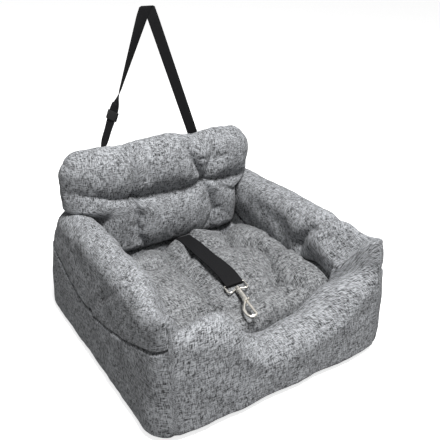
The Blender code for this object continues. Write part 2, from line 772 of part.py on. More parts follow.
def zip_across(name, corners, tape, metal):
    """A zip in the slot whose corners are given: its tape with the coil on it, its slider and its pull."""
    low = Vector(min(corner[i] for corner in corners) for i in range(3))
    high = Vector(max(corner[i] for corner in corners) for i in range(3))
    skin = high.y
    middle = (low.z + high.z) / 2
    bottom, top = low.z + SEWN_GAP, high.z - SEWN_GAP
    left, right = low.x + SEWN_GAP, high.x - SEWN_GAP
    coil = ZIP_COIL_WIDTH / 2
    section = (
        (skin - COVER_WALL, bottom + ZIP_TAPE_BEVEL),
        (skin, bottom),
        (skin, middle - coil),
        (skin + ZIP_COIL_HEIGHT, middle - coil),
        (skin + ZIP_COIL_HEIGHT, middle + coil),
        (skin, middle + coil),
        (skin, top),
        (skin - COVER_WALL, top - ZIP_TAPE_BEVEL),
    )
    outline = [Vector((left, y, z)) for y, z in section]
    add_object(name + "_zip", prism(outline, Vector((right - left, 0.0, 0.0))), tape)

    start = right - ZIP_END_INSET - SLIDER_LENGTH
    inner = coil + RUNNING_GAP
    outer = inner + SLIDER_WALL
    lowest = skin + RUNNING_GAP
    under = skin + ZIP_COIL_HEIGHT + RUNNING_GAP
    over = under + SLIDER_PLATE
    section = (
        (lowest, middle - outer),
        (over, middle - outer),
        (over, middle + outer),
        (lowest, middle + outer),
        (lowest, middle + inner),
        (under, middle + inner),
        (under, middle - inner),
        (lowest, middle - inner),
    )
    outline = [Vector((start, y, z)) for y, z in section]
    slider = add_object(name + "_zip_slider", prism(outline, Vector((SLIDER_LENGTH, 0.0, 0.0))), metal)
    centre = start + SLIDER_LENGTH / 2
    arch = (
        (-BRIDGE_LENGTH / 2, over - SLIDER_PLATE / 2),
        (-BRIDGE_LENGTH / 2, over + BRIDGE_HEIGHT),
        (BRIDGE_LENGTH / 2, over + BRIDGE_HEIGHT),
        (BRIDGE_LENGTH / 2, over - SLIDER_PLATE / 2),
        (BRIDGE_LENGTH / 2 - BRIDGE_WIRE, over - SLIDER_PLATE / 2),
        (BRIDGE_LENGTH / 2 - BRIDGE_WIRE, over + BRIDGE_HEIGHT - BRIDGE_WIRE),
        (BRIDGE_WIRE - BRIDGE_LENGTH / 2, over + BRIDGE_HEIGHT - BRIDGE_WIRE),
        (BRIDGE_WIRE - BRIDGE_LENGTH / 2, over - SLIDER_PLATE / 2),
    )
    outline = [Vector((centre + x, y, middle - BRIDGE_WIDTH / 2)) for x, y in arch]
    cut(slider, prism(outline, Vector((0.0, 0.0, BRIDGE_WIDTH))), "UNION")

    neck = BRIDGE_LENGTH / 2 - BRIDGE_WIRE - RUNNING_GAP
    wide = PULL_WIDTH / 2
    head = middle + BRIDGE_WIDTH / 2 + RUNNING_GAP
    hip = middle - BRIDGE_WIDTH / 2 - RUNNING_GAP
    shape = (
        (-wide, head + PULL_BEVEL),
        (-wide, head),
        (-neck, head),
        (-neck, hip),
        (-wide, hip - PULL_BEVEL),
        (-wide, hip - PULL_LENGTH + PULL_BEVEL),
        (PULL_BEVEL - wide, hip - PULL_LENGTH),
        (wide - PULL_BEVEL, hip - PULL_LENGTH),
        (wide, hip - PULL_LENGTH + PULL_BEVEL),
        (wide, hip - PULL_BEVEL),
        (neck, hip),
        (neck, head),
        (wide, head),
        (wide, head + PULL_BEVEL),
    )
    outline = [Vector((centre + x, over + SEWN_GAP, z)) for x, z in shape]
    pull = add_object(name + "_zip_pull", prism(outline, Vector((0.0, PULL_THICKNESS, 0.0))), metal)
    hang_on(name + "_zip_slide", Vector((centre, over, middle)), (slider, pull))


def make_cushions(fabric, filling, tape, metal):
    """The seat cushion and the backrest, each a zipped cover round its filling."""
    cushion = shaped_block(CUSHION_CELLS, cushion_point)
    simplify_flat(cushion, Vector((0.0, 0.0, -1.0)))
    middle = CUSHION_FOOT + CUSHION_EDGE_HEIGHT / 2

    def in_cushion_slot(place):
        rear = CUSHION_REAR - place.y < SEWN_GAP
        return rear and abs(place.z - middle) < SOFT_GAP and abs(place.x) < CUSHION_ZIP_HALF

    surface = BVHTree.FromBMesh(cushion)
    corners = zipped_cushion("seat_cushion", cushion, in_cushion_slot, fabric, filling)
    zip_across("seat_cushion", corners, tape, metal)
    row = (BACK_TOP - BACK_FOOT) / BACK_CELLS[2]
    back_middle = BACK_FOOT + row * (BACK_ZIP_ROW + 1 / 2)

    def in_back_slot(place):
        rear = BACK_REAR - place.y < SEWN_GAP
        return rear and abs(place.z - back_middle) < row / 2 and abs(place.x) < BACK_ZIP_HALF

    back = shaped_block(BACK_CELLS, back_point)
    corners = zipped_cushion("backrest", back, in_back_slot, fabric, filling)
    zip_across("backrest", corners, tape, metal)
    return surface


def make_hinge_strip(fabric):
    """The fabric strip sewn to the rear wall and to the backrest, about which the backrest folds."""
    wall = HALF_DEPTH + SEWN_GAP + HINGE_STRIP_THICKNESS / 2
    back = BACK_REAR + SEWN_GAP + HINGE_STRIP_THICKNESS / 2
    seam = REAR_WALL_HEIGHT - REAR_EDGE_RADIUS
    free = BACK_FOOT + BACK_EDGE_RADIUS
    side = Vector((HINGE_STRIP_HALF, 0.0, 0.0))
    route = ((wall, seam - HINGE_STRIP_REACH), (wall, seam), (back, free), (back, free + HINGE_STRIP_REACH))
    sections = [(Vector((0.0, y, z)), side, Vector((0.0, 1.0, 0.0))) for y, z in route]
    add_object("backrest_hinge_strip", ribbon(sections, HINGE_STRIP_THICKNESS), fabric)


def height_over(surface, x, y):
    """Height of the cushion's surface above a place in plan."""
    hit = surface.ray_cast(Vector((x, y, SEAT_WIDTH)), Vector((0.0, 0.0, -1.0)))
    return hit[0].z


def snap_frame(surface):
    """Frame of the snap hook as it lies on the cushion.

    X runs from its eye to its nose and -Y is the side that the hook bulges to.
    """
    turn = Matrix.Rotation(SNAP_YAW, 4, "Z") @ Matrix.Rotation(SNAP_PITCH, 4, "Y")
    turn = turn @ Matrix.Rotation(SNAP_ROLL, 4, "X")
    rear = -EYE_DEPTH
    barrel = BARREL_RADIUS + BARREL_COLLAR
    side = TETHER_WIDTH / 2 + EYE_SIDE_ROOM
    wrap = EYE_WIRE / 2 + SEWN_GAP + WEBBING_THICKNESS
    end = BARREL_LENGTH + HOOK_REACH
    feet = [(rear, side, wrap), (rear, 0.0, wrap), (rear, -side, wrap), (0.0, side, wrap), (0.0, -side, wrap)]
    feet += [(0.0, 0.0, BOSS_RADIUS), (BARREL_LENGTH / 2, 0.0, barrel), (BARREL_LENGTH, 0.0, barrel)]
    feet += [(end, 0.0, HOOK_WIRE), (end, -HOOK_BREADTH / 2, HOOK_WIRE), (end, -HOOK_BREADTH, HOOK_WIRE)]
    feet += [(BARREL_LENGTH + HOOK_REACH / 2, -HOOK_BREADTH, HOOK_WIRE)]
    lift = 0.0
    for along, aside, radius in feet:
        place = turn @ Vector((along, aside, 0.0))
        under = height_over(surface, SNAP_X + place.x, SNAP_Y + place.y)
        lift = max(lift, under + radius - place.z)
    return Matrix.Translation((SNAP_X, SNAP_Y, lift + SNAP_LIFT)) @ turn


def tether_sections(frame, surface):
    """The webbing lies over the cushion, passes round the eye's rear bar and is sewn to itself."""
    turn = EYE_WIRE / 2 + SEWN_GAP + WEBBING_THICKNESS / 2
    merged = turn - WEBBING_THICKNESS - RUNNING_GAP
    side = frame.to_3x3() @ Vector((0.0, TETHER_WIDTH / 2, 0.0))
    face = frame.to_3x3() @ Vector((0.0, 0.0, 1.0))
    fold_start = frame @ Vector((-EYE_DEPTH - TETHER_FOLD_LENGTH, 0.0, turn))
    sections = []
    for step in range(TETHER_STEPS):
        part = step / TETHER_STEPS
        x = TETHER_ROOT_X + (fold_start.x - TETHER_ROOT_X) * part
        y = TETHER_ROOT_Y + (fold_start.y - TETHER_ROOT_Y) * part
        highest = 0.0
        for aside in range(-TETHER_SAMPLES, TETHER_SAMPLES + 1):
            for ahead in range(-TETHER_SAMPLES, TETHER_SAMPLES + 1):
                near_x = x + aside / TETHER_SAMPLES * TETHER_WIDTH / 2
                near_y = y + ahead / TETHER_SAMPLES * (TETHER_ROOT_Y - fold_start.y) / TETHER_STEPS
                highest = max(highest, height_over(surface, near_x, min(near_y, TETHER_ROOT_Y)))
        lie = highest + WEBBING_THICKNESS / 2 + TETHER_LIFT
        blend = smooth_step((part - TETHER_RISE_SHARE) / (1 - TETHER_RISE_SHARE))
        z = lie + (fold_start.z - lie) * blend
        level = Vector((TETHER_WIDTH / 2, 0.0, 0.0))
        across = (level + (side - level) * blend).normalized() * TETHER_WIDTH / 2
        upright = (Vector((0.0, 0.0, 1.0)) + (face - Vector((0.0, 0.0, 1.0))) * blend).normalized()
        sections.append((Vector((x, y, z)), across, upright))
    sections.append((fold_start, side, face))
    sections.append((frame @ Vector((-EYE_DEPTH - TETHER_MERGE_LENGTH, 0.0, turn)), side, face))
    for step in range(FOLD_STEPS + 1):
        angle = math.pi * step / FOLD_STEPS
        place = Vector((turn * math.sin(angle) - EYE_DEPTH, 0.0, turn * math.cos(angle)))
        skin = frame.to_3x3() @ Vector((math.sin(angle), 0.0, math.cos(angle)))
        sections.append((frame @ place, side, skin))
    for back in (TETHER_MERGE_LENGTH, TETHER_FOLD_LENGTH):
        sections.append((frame @ Vector((-EYE_DEPTH - back, 0.0, merged)), side, -face))
    return sections


def make_tether(frame, surface, webbing):
    """The tether's webbing with its sewn loop, and the fixed end that goes down behind the cushion."""
    sections = tether_sections(frame, surface)
    strap = add_object("tether_webbing", ribbon(sections, WEBBING_THICKNESS), webbing)
    start, across, _ = sections[0]
    hang_on("tether_lift", start + Vector((0.0, RUNNING_GAP / 4, WEBBING_THICKNESS / 2)), (strap,))
    wall = WELL_HALF_DEPTH - SEWN_GAP - WEBBING_THICKNESS / 2
    bend = CUSHION_EDGE_RADIUS
    route = [start + Vector((0.0, RUNNING_GAP, 0.0))]
    faces = [Vector((0.0, 0.0, 1.0))]
    centre = Vector((start.x, wall - bend, start.z - bend))
    for step in range(ANCHOR_STEPS + 1):
        angle = math.pi / 2 * step / ANCHOR_STEPS
        place = centre + Vector((0.0, bend * math.sin(angle), bend * math.cos(angle)))
        if place.y > route[0].y + WEBBING_THICKNESS:
            route.append(place)
            faces.append(Vector((0.0, math.sin(angle), math.cos(angle))))
    route.append(Vector((start.x, wall, start.z - bend - ANCHOR_TAIL)))
    faces.append(Vector((0.0, 1.0, 0.0)))
    anchor = [(place, across, face) for place, face in zip(route, faces)]
    add_object("tether_anchor_webbing", ribbon(anchor, WEBBING_THICKNESS), webbing)


def make_snap(frame, metal, spring_steel):
    """The bolt snap: a swivelling eye, a barrel with its hook, and a sprung bolt with a thumb knob."""
    holder = bpy.data.objects.new("snap_frame", None)
    holder.matrix_world = frame
    bpy.context.scene.collection.objects.link(holder)

    half = TETHER_WIDTH / 2 + EYE_SIDE_ROOM + EYE_WIRE / 2
    loop = []
    for corner_x, corner_y, first in ((0, 1, 0), (-1, 1, 1), (-1, -1, 2), (0, -1, 3)):
        corner = EYE_REAR_RADIUS if corner_x else EYE_CORNER_RADIUS
        centre_x = corner - EYE_DEPTH if corner_x else EYE_SHOULDER - corner
        centre_y = corner_y * (half - corner)
        for step in range(EYE_CORNER_STEPS + 1):
            angle = math.pi / 2 * (first + step / EYE_CORNER_STEPS)
            x = centre_x + corner * math.cos(angle)
            loop.append(Vector((x, centre_y + corner * math.sin(angle), 0.0)))
    loop.append(Vector((0.0, -BOSS_RADIUS, 0.0)))
    loop.append(Vector((0.0, BOSS_RADIUS, 0.0)))
    eye = add_object("snap_swivel_eye", wire(loop, EYE_WIRE / 2, closed=True), metal, holder)
    boss_end = BOSS_LENGTH / 2
    cut(eye, turned(((-boss_end, BOSS_RADIUS), (boss_end, BOSS_RADIUS))), "UNION")
    bore = POST_RADIUS + RUNNING_GAP
    cut(eye, turned(((-BOSS_LENGTH, bore), (BOSS_LENGTH, bore))))

    rear = boss_end + RUNNING_GAP
    front = rear + BARREL_LENGTH
    head = -boss_end - RUNNING_GAP
    collar = BARREL_RADIUS + BARREL_COLLAR
    profile = (
        (head - POST_HEAD_LENGTH, POST_HEAD_RADIUS - POST_HEAD_LENGTH / 2),
        (head - POST_HEAD_LENGTH / 2, POST_HEAD_RADIUS),
        (head, POST_HEAD_RADIUS),
        (head, POST_RADIUS),
        (rear, POST_RADIUS),
        (rear, collar - BARREL_COLLAR / 2),
        (rear + BARREL_COLLAR, collar),
        (rear + BARREL_COLLAR * 2, collar),
        (rear + BARREL_COLLAR * 3, BARREL_RADIUS),
        (front - BARREL_COLLAR * 2, BARREL_RADIUS),
        (front, BARREL_RADIUS - BARREL_COLLAR / 2),
    )
    hook = add_object("snap_hook_body", turned(profile), metal, holder)
    nose = front + HOOK_REACH
    path = [Vector((front + along * HOOK_REACH, -aside * HOOK_BREADTH, 0.0)) for along, aside in HOOK_SHARES]
    bow = wire(smooth_path(path, HOOK_STEPS), HOOK_WIRE / 2, thinning=HOOK_THINNING_SHARE)
    cut(hook, bow, "UNION")
    bore = BOLT_RADIUS + RUNNING_GAP
    bore_end = rear + BARREL_COLLAR * 4
    cut(hook, turned(((bore_end, bore), (front + HOOK_REACH / 2, bore))))
    knob_at = front - KNOB_INSET
    slot = KNOB_RADIUS + RUNNING_GAP
    low = Vector((knob_at - BOLT_TRAVEL - slot, 0.0, -slot))
    high = Vector((knob_at + slot, BARREL_RADIUS + CUT_OVERRUN, slot))
    cut(hook, block_mesh(low, high))

    tail = front - BOLT_TAIL
    tip = nose - SEWN_GAP
    bevel = BOLT_RADIUS / 4
    profile = ((tail, BOLT_RADIUS), (tip - bevel, BOLT_RADIUS), (tip, BOLT_RADIUS - bevel))
    bolt = add_object("snap_bolt", turned(profile), metal, holder)
    stem = turned(
        (
            (0.0, KNOB_RADIUS),
            (BARREL_RADIUS + RUNNING_GAP, KNOB_RADIUS),
            (BARREL_RADIUS + SOFT_GAP, KNOB_HEAD_RADIUS),
            (BARREL_RADIUS + SOFT_GAP + KNOB_HEAD_HEIGHT, KNOB_HEAD_RADIUS - SOFT_GAP),
        )
    )
    stem.transform(Matrix.Translation((knob_at, 0.0, 0.0)) @ Matrix.Rotation(math.pi / 2, 4, "Z"))
    cut(bolt, stem, "UNION")

    coil = bore - RUNNING_GAP - SPRING_WIRE / 2
    first = bore_end + SEWN_GAP + SPRING_WIRE / 2
    last = tail - SEWN_GAP - SPRING_WIRE / 2
    count = SPRING_TURNS * SPRING_POINTS
    turns = []
    for step in range(count + 1):
        angle = math.tau * step / SPRING_POINTS
        x = first + (last - first) * step / count
        turns.append(Vector((x, coil * math.cos(angle), coil * math.sin(angle))))
    add_object("snap_spring", wire(turns, SPRING_WIRE / 2, sides=1), spring_steel, holder)


def strap_plane():
    return BACK_REAR + SEWN_GAP + WEBBING_THICKNESS / 2


def leg_place(side, z):
    """Middle of a leg of the headrest strap at a height."""
    top = STRAP_TOP - STRAP_WIDTH / 2
    lean = (STRAP_HALF_SPREAD - STRAP_CREASE / 4) / (top - STRAP_LEAVES_HEIGHT)
    x = STRAP_CENTRE_X + side * (STRAP_HALF_SPREAD - (z - STRAP_LEAVES_HEIGHT) * lean)
    return Vector((x, strap_plane(), z))


def leg_frame(side):
    """Directions along a leg, upwards, and across it in the strap's own plane."""
    along = (leg_place(side, STRAP_TOP) - leg_place(side, STRAP_LEAVES_HEIGHT)).normalized()
    return along, Vector((along.z, 0.0, -along.x))


def make_headrest_strap(webbing, plastic, fabric):
    """The strap goes up the back, folds flat at its top and comes down through a keeper."""
    back = Vector((0.0, 1.0, 0.0))
    sections = []
    along, across = leg_frame(1)
    wide = across * STRAP_WIDTH / 2
    shoulder = STRAP_TOP - STRAP_WIDTH
    for z in (STRAP_FOOT_HEIGHT, STRAP_LEAVES_HEIGHT, TWIST_HEIGHT, shoulder):
        sections.append((leg_place(1, z), wide, back))
    notch = Vector((STRAP_CENTRE_X, strap_plane(), shoulder))
    for side in (1, -1):
        crown = Vector((STRAP_CENTRE_X + side * STRAP_CREASE / 2, strap_plane(), STRAP_TOP))
        inner = notch + Vector((side * SOFT_GAP, 0.0, 0.0))
        sections.append(((crown + inner) / 2, (crown - inner) / 2, back))
    along, across = leg_frame(-1)
    wide = across * -STRAP_WIDTH / 2
    sections.append((leg_place(-1, shoulder), wide, back))
    for step in range(TWIST_STEPS + 1):
        part = step / TWIST_STEPS
        z = TWIST_HEIGHT + TWIST_LENGTH * (1 / 2 - part)
        turn = Matrix.Rotation(math.pi * smooth_step(part), 3, along)
        sections.append((leg_place(-1, z), turn @ wide, turn @ back))
    for z in (STRAP_LEAVES_HEIGHT, STRAP_FOOT_HEIGHT):
        sections.append((leg_place(-1, z), -wide, -back))
    add_object("headrest_strap", ribbon(sections, WEBBING_THICKNESS), webbing)

    spacing = Vector((0.0, TAIL_SPACE, 0.0))
    tail = [(leg_place(-1, z) + spacing, wide, back) for z in (STRAP_FOOT_HEIGHT, TAIL_TOP)]
    add_object("headrest_strap_tail", ribbon(tail, WEBBING_THICKNESS), webbing)

    middle = leg_place(-1, GLIDE_HEIGHT) + spacing / 2
    frame = Matrix.Identity(4)
    for column, direction in enumerate((across, back, along)):
        frame.col[column] = (*direction, 0.0)
    frame.col[3] = (*middle, 1.0)
    layer = WEBBING_THICKNESS / 2 + RUNNING_GAP
    slot_half = STRAP_WIDTH / 2 + RUNNING_GAP
    depth = TAIL_SPACE / 2 + layer + GLIDE_WALL
    half = Vector((slot_half + GLIDE_SIDE, depth, GLIDE_LENGTH / 2))
    keeper = box("strap_keeper", -half, half, plastic, GLIDE_BEVEL)
    keeper.matrix_world = frame
    for place in (-TAIL_SPACE / 2, TAIL_SPACE / 2):
        low = Vector((-slot_half, place - layer, -GLIDE_LENGTH))
        cut(keeper, block_mesh(low, Vector((slot_half, place + layer, GLIDE_LENGTH))))

    outside = {-1: TAIL_SPACE, 1: 0.0}
    for side, name in ((-1, "left"), (1, "right")):
        foot = leg_place(side, STRAP_FOOT_HEIGHT)
        start = foot.y + outside[side] + WEBBING_THICKNESS / 2 + SEWN_GAP
        low = Vector((foot.x - PATCH_WIDTH / 2, start, foot.z - PATCH_HEIGHT / 4))
        high = low + Vector((PATCH_WIDTH, PATCH_THICKNESS, PATCH_HEIGHT))
        box(name + "_strap_patch", low, high, fabric, PATCH_THICKNESS / 4)


def build():
    for old in list(bpy.data.objects):
        bpy.data.objects.remove(old, do_unlink=True)

    fabric = material("heather_linen", (0.30, 0.31, 0.33), 0.9)
    grip = material("grip_fabric", (0.05, 0.05, 0.055), 0.8)
    foam = material("base_foam", (0.72, 0.70, 0.62), 0.95)
    filling = material("fibre_filling", (0.85, 0.85, 0.84), 1.0)
    webbing = material("black_webbing", (0.012, 0.012, 0.013), 0.75)
    tape = material("zip_tape", (0.10, 0.10, 0.11), 0.8)
    metal = material("nickel", (0.72, 0.70, 0.66), 0.25, 1.0)
    spring_steel = material("spring_steel", (0.5, 0.5, 0.5), 0.35, 1.0)
    plastic = material("black_plastic", (0.015, 0.015, 0.016), 0.4)
    make_base(fabric, grip, foam)
    surface = make_cushions(fabric, filling, tape, metal)
    make_hinge_strip(fabric)
    frame = snap_frame(surface)
    make_tether(frame, surface, webbing)
    make_snap(frame, metal, spring_steel)
    make_headrest_strap(webbing, plastic, fabric)
    folding = ("backrest_cover", "backrest_filling", "backrest_zip", "headrest_strap", "headrest_strap_tail")
    folding += ("left_strap_patch", "right_strap_patch")
    hinge = Vector((0.0, BACK_REAR + HINGE_BEHIND, REAR_WALL_HEIGHT + HINGE_LIFT))
    hang_on("backrest_fold", hinge, [bpy.data.objects[name] for name in folding])
    bpy.context.view_layer.update()


build()
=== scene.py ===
import math

import bpy
import numpy as np
from mathutils import Matrix, Vector


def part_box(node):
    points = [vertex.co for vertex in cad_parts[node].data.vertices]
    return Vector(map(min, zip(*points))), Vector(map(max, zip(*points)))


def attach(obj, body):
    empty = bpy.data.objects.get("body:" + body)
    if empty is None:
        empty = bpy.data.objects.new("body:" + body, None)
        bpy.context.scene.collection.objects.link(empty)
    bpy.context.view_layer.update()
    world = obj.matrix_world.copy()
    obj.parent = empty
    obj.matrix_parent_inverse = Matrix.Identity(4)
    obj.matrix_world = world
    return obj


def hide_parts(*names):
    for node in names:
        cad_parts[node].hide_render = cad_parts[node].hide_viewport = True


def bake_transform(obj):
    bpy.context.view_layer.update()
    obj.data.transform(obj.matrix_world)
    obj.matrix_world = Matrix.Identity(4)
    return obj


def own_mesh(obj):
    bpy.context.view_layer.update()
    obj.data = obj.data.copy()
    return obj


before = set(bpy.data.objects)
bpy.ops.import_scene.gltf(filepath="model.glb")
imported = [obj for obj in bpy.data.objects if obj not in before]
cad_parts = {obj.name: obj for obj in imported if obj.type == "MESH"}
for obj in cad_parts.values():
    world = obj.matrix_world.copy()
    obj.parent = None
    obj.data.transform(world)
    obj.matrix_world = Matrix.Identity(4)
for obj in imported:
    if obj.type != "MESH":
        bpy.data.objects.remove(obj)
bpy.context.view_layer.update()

# Camera, fitted to the wall corners and crests in the picture
CAMERA_PLACE = (-0.5987, -0.8880, 0.8060)
CAMERA_AZIMUTH = math.radians(34.598)
CAMERA_ELEVATION = math.radians(27.484)
CAMERA_ROLL = math.radians(2.377)
CAMERA_LENS = 48.72

# Whole seat, in metres
HALF_WIDTH = 0.260
HALF_DEPTH = 0.2425
WALL_THICKNESS = 0.063
WALL_BULGE = 0.007
WALL_REACH = HALF_WIDTH - WALL_BULGE
FRONT_REACH = HALF_DEPTH - WALL_BULGE
WALL_FOOT = 0.0033
FOOT_RADIUS = 0.014
SIDE_SPREAD = 0.024
FRONT_SPREAD = 0.033
SPREAD_POWER = 1.5
CORNER_SHARE = 0.84
OUTER_CORNER_TOP = 0.024
OUTER_CORNER_FOOT = 0.040
INNER_CORNER = 0.016
WALL_TOP = 0.240
SEAM_RADIUS = 0.0042
SEAM_REACH = 0.012
CREST_RADIUS = 0.034
PEAK_RADIUS = 0.010
PEAK_REACH = 0.045
SEAM_TURN = math.radians(20)
SEAM_TURN_LOW = math.radians(30)
SEAM_END = 0.188
ROLL_SWELL = 0.009
BOLSTER_SWELL = 0.006
COVER_END_RADIUS = 0.026
ROLL_END_RADIUS = 0.006
COVER_MERGE = 0.006
FRONT_MERGE = 0.10
CORNER_NEAR = 0.05
GATHER_DEPTH = 0.070
GATHER_REACH = 0.066
GATHER_FOOT = 0.05
GATHER_RISE = 0.19


# Numbers and lines
def smooth_step(share):
    share = np.clip(share, 0.0, 1.0)
    return share * share * (3 - 2 * share)


def between(first, last, share):
    return first + (last - first) * share


def hill(share):
    """1 at 0, falling away smoothly to both sides."""
    return np.exp(-(share**2))


def softened(far, width):
    """A distance without its sharp turn at 0."""
    return np.sqrt(far**2 + width**2) - width


def through(knots, at):
    """A smooth line through knots (place, value), read at some places."""
    place, value = np.array(knots, float).T
    slope = np.gradient(value, place)
    at = np.clip(at, place[0], place[-1])
    i = np.clip(np.searchsorted(place, at) - 1, 0, len(place) - 2)
    span = place[i + 1] - place[i]
    t = (at - place[i]) / span
    return (
        value[i] * (1 + 2 * t) * (1 - t) ** 2
        + slope[i] * span * t * (1 - t) ** 2
        + value[i + 1] * t * t * (3 - 2 * t)
        + slope[i + 1] * span * t * t * (t - 1)
    )


def lumps(points, size, seed, waves=30):
    """Soft unevenness between about -1 and 1, from waves that run in fixed chance directions."""
    draw = np.random.default_rng(seed)
    total = np.zeros(len(points))
    for _ in range(waves):
        way = draw.normal(size=points.shape[1])
        way /= np.linalg.norm(way)
        total += np.sin(
            points @ way * (math.tau / size * draw.uniform(0.6, 1.6)) + draw.uniform(0, math.tau)
        )
    return total / math.sqrt(waves)


def line_distance(points, line):
    """Distance of each point from a broken line, and the share of the line at its nearest place."""
    line = np.array(line, float)
    lengths = np.linalg.norm(np.diff(line, axis=0), axis=1)
    start = np.concatenate([[0.0], np.cumsum(lengths)])
    best = np.full(len(points), 1e9)
    along = np.zeros(len(points))
    for i, (a, b) in enumerate(zip(line[:-1], line[1:])):
        t = np.clip((points - a) @ (b - a) / lengths[i] ** 2, 0.0, 1.0)
        far = np.linalg.norm(points - a - t[:, None] * (b - a), axis=1)
        nearer = far < best
        best[nearer] = far[nearer]
        along[nearer] = ((start[i] + t * lengths[i]) / start[-1])[nearer]
    return best, along


# Stuffed shapes
def block_faces(cells):
    """Lattice places on the outside of a block of cells, its quads and the side that each is on."""
    cells = np.array(cells)
    quads = []
    sides = []
    for axis in range(3):
        a, b = (axis + 1) % 3, (axis + 2) % 3
        ia, ib = (g.ravel() for g in np.meshgrid(np.arange(cells[a]), np.arange(cells[b]), indexing="ij"))
        for end in (0, 1):
            steps = ((0, 0), (1, 0), (1, 1), (0, 1)) if end else ((0, 0), (0, 1), (1, 1), (1, 0))
            corners = np.zeros((len(ia), 4, 3), int)
            corners[:, :, axis] = end * cells[axis]
            for k, (da, db) in enumerate(steps):
                corners[:, k, a] = ia + da
                corners[:, k, b] = ib + db
            quads.append(corners)
            sides += [axis * 2 + end] * len(ia)
    flat = np.concatenate(quads).reshape(-1, 3)
    key = (flat[:, 0] * (cells[1] + 1) + flat[:, 1]) * (cells[2] + 1) + flat[:, 2]
    _, first, index = np.unique(key, return_index=True, return_inverse=True)
    return flat[first], index.reshape(-1, 4), np.array(sides)


def rounded(unit, half, low, high):
    """Unit places moved onto a block with rounded edges, one radius for each end."""
    half = np.broadcast_to(half, unit.shape)
    low = np.minimum(np.broadcast_to(low, unit.shape), half)
    high = np.minimum(np.broadcast_to(high, unit.shape), half)
    place = unit * half
    core = np.clip(place, low - half, half - high)
    radius = np.where(unit > 0, high, low)
    out = (place - core) / radius
    size = np.linalg.norm(out, axis=1, keepdims=True)
    return core + np.where(size > 0, out / np.maximum(size, 1e-9), 0.0) * radius


END_CLOTH = 0.06


def cloth_places(lattice, quads, sides, points, cells, length):
    """Where each corner of each quad lies on the flat cloth: along the piece, and round its section.

    The cloth starts at the low front edge and runs up, over the top and down the rear, so its weave is
    not stretched where the piece is high.
    """
    nx, ny, nz = cells
    number = {tuple(p): i for i, p in enumerate(lattice)}
    ring = [(0, k) for k in range(nz + 1)] + [(j, nz) for j in range(1, ny + 1)] + [
        (ny, k) for k in range(nz - 1, -1, -1)
    ]
    rows = np.array([[number[(i, j, k)] for j, k in ring] for i in range(nx + 1)])
    steps = np.linalg.norm(np.diff(points[rows], axis=1), axis=2)
    around = np.concatenate([np.zeros((nx + 1, 1)), np.cumsum(steps, axis=1)], axis=1)
    spot = lattice[quads]
    i, j, k = spot[..., 0], spot[..., 1], spot[..., 2]
    side = sides[:, None]
    place = np.where(side == 3, nz + ny + nz - k, np.where(side == 5, nz + j, k))
    v = around[i, place]
    v = np.where(side == 4, -j / ny * END_CLOTH, v)
    u = (i / nx - 0.5) * length
    u = np.where(side < 2, j / ny * END_CLOTH + length, u)
    return np.stack([u, v], -1)


def added(name, data):
    """A new object in the scene."""
    made = bpy.data.objects.new(name, data)
    bpy.context.scene.collection.objects.link(made)
    return made


def new_piece(name, points, faces, uv=None, finish=None):
    """A mesh object from places and faces, with its cloth map."""
    data = bpy.data.meshes.new(name)
    data.from_pydata([tuple(p) for p in points], [], [tuple(int(i) for i in f) for f in faces])
    if uv is not None:
        layer = data.uv_layers.new(name="cloth")
        layer.data.foreach_set("uv", np.asarray(uv, np.float32).ravel())
    if finish is not None:
        data.materials.append(finish)
    data.shade_smooth()
    data.update()
    return added(name, data)


def evaluated(piece):
    """A piece with its modifiers worked out."""
    return piece.evaluated_get(bpy.context.evaluated_depsgraph_get())


def places_of(piece):
    return np.array([v.co for v in piece.data.vertices])


def move_points(piece, places):
    piece.data.vertices.foreach_set("co", places.astype(np.float32).ravel())
    piece.data.update()


def surface_volume(points, quads):
    """Volume inside, above 0 where the faces look outwards."""
    a, b, c, d = (points[quads[:, k]] for k in range(4))
    return float(
        (np.einsum("ij,ij->i", a, np.cross(b, c)) + np.einsum("ij,ij->i", a, np.cross(c, d))).sum() / 6
    )


def outward(points, quads, uv):
    """Quads and cloth map turned round where the faces look inwards."""
    if surface_volume(points, quads) < 0:
        return quads[:, ::-1], uv[:, ::-1]
    return quads, uv


def surface_normals(points, quads):
    across = points[quads[:, 2]] - points[quads[:, 0]]
    along = points[quads[:, 3]] - points[quads[:, 1]]
    square = np.cross(across, along)
    total = np.zeros_like(points)
    for k in range(4):
        np.add.at(total, quads[:, k], square)
    return total / np.maximum(np.linalg.norm(total, axis=1, keepdims=True), 1e-12)


def near_creases(flat, creases):
    """For each crease: how far each place is from it, how deep it is beside that place, and its width."""
    for line, width, first, last in creases:
        far, along = line_distance(flat, line)
        yield far, between(first, last, along), width


def creased(points, quads, creases):
    """Sinks creases (line, width, depth at its start and end) into a surface, with a swell beside each."""
    normals = surface_normals(points, quads)
    move = np.zeros(len(points))
    for far, deep, width in near_creases(points, creases):
        far = softened(far, width * 0.15)
        move -= deep * np.exp(-far / width)
        move += deep * 0.30 * hill((far - width * 2.6) / (width * 1.6))
    return points + normals * move[:, None]


# Finishes
def nodes_of(name):
    made = bpy.data.materials.new(name)
    made.use_nodes = True
    tree = made.node_tree
    shader = tree.nodes["Principled BSDF"]
    return made, tree, shader


def node(tree, kind, links=(), **settings):
    made = tree.nodes.new(kind)
    for key, value in settings.items():
        setattr(made, key, value)
    for socket, source in links:
        if hasattr(source, "links"):
            tree.links.new(source, made.inputs[socket])
        else:
            made.inputs[socket].default_value = source
    return made


def maths(tree, operation, *terms):
    return node(tree, "ShaderNodeMath", list(enumerate(terms)), operation=operation).outputs[0]


def times(tree, a, b):
    return maths(tree, "MULTIPLY", a, b)


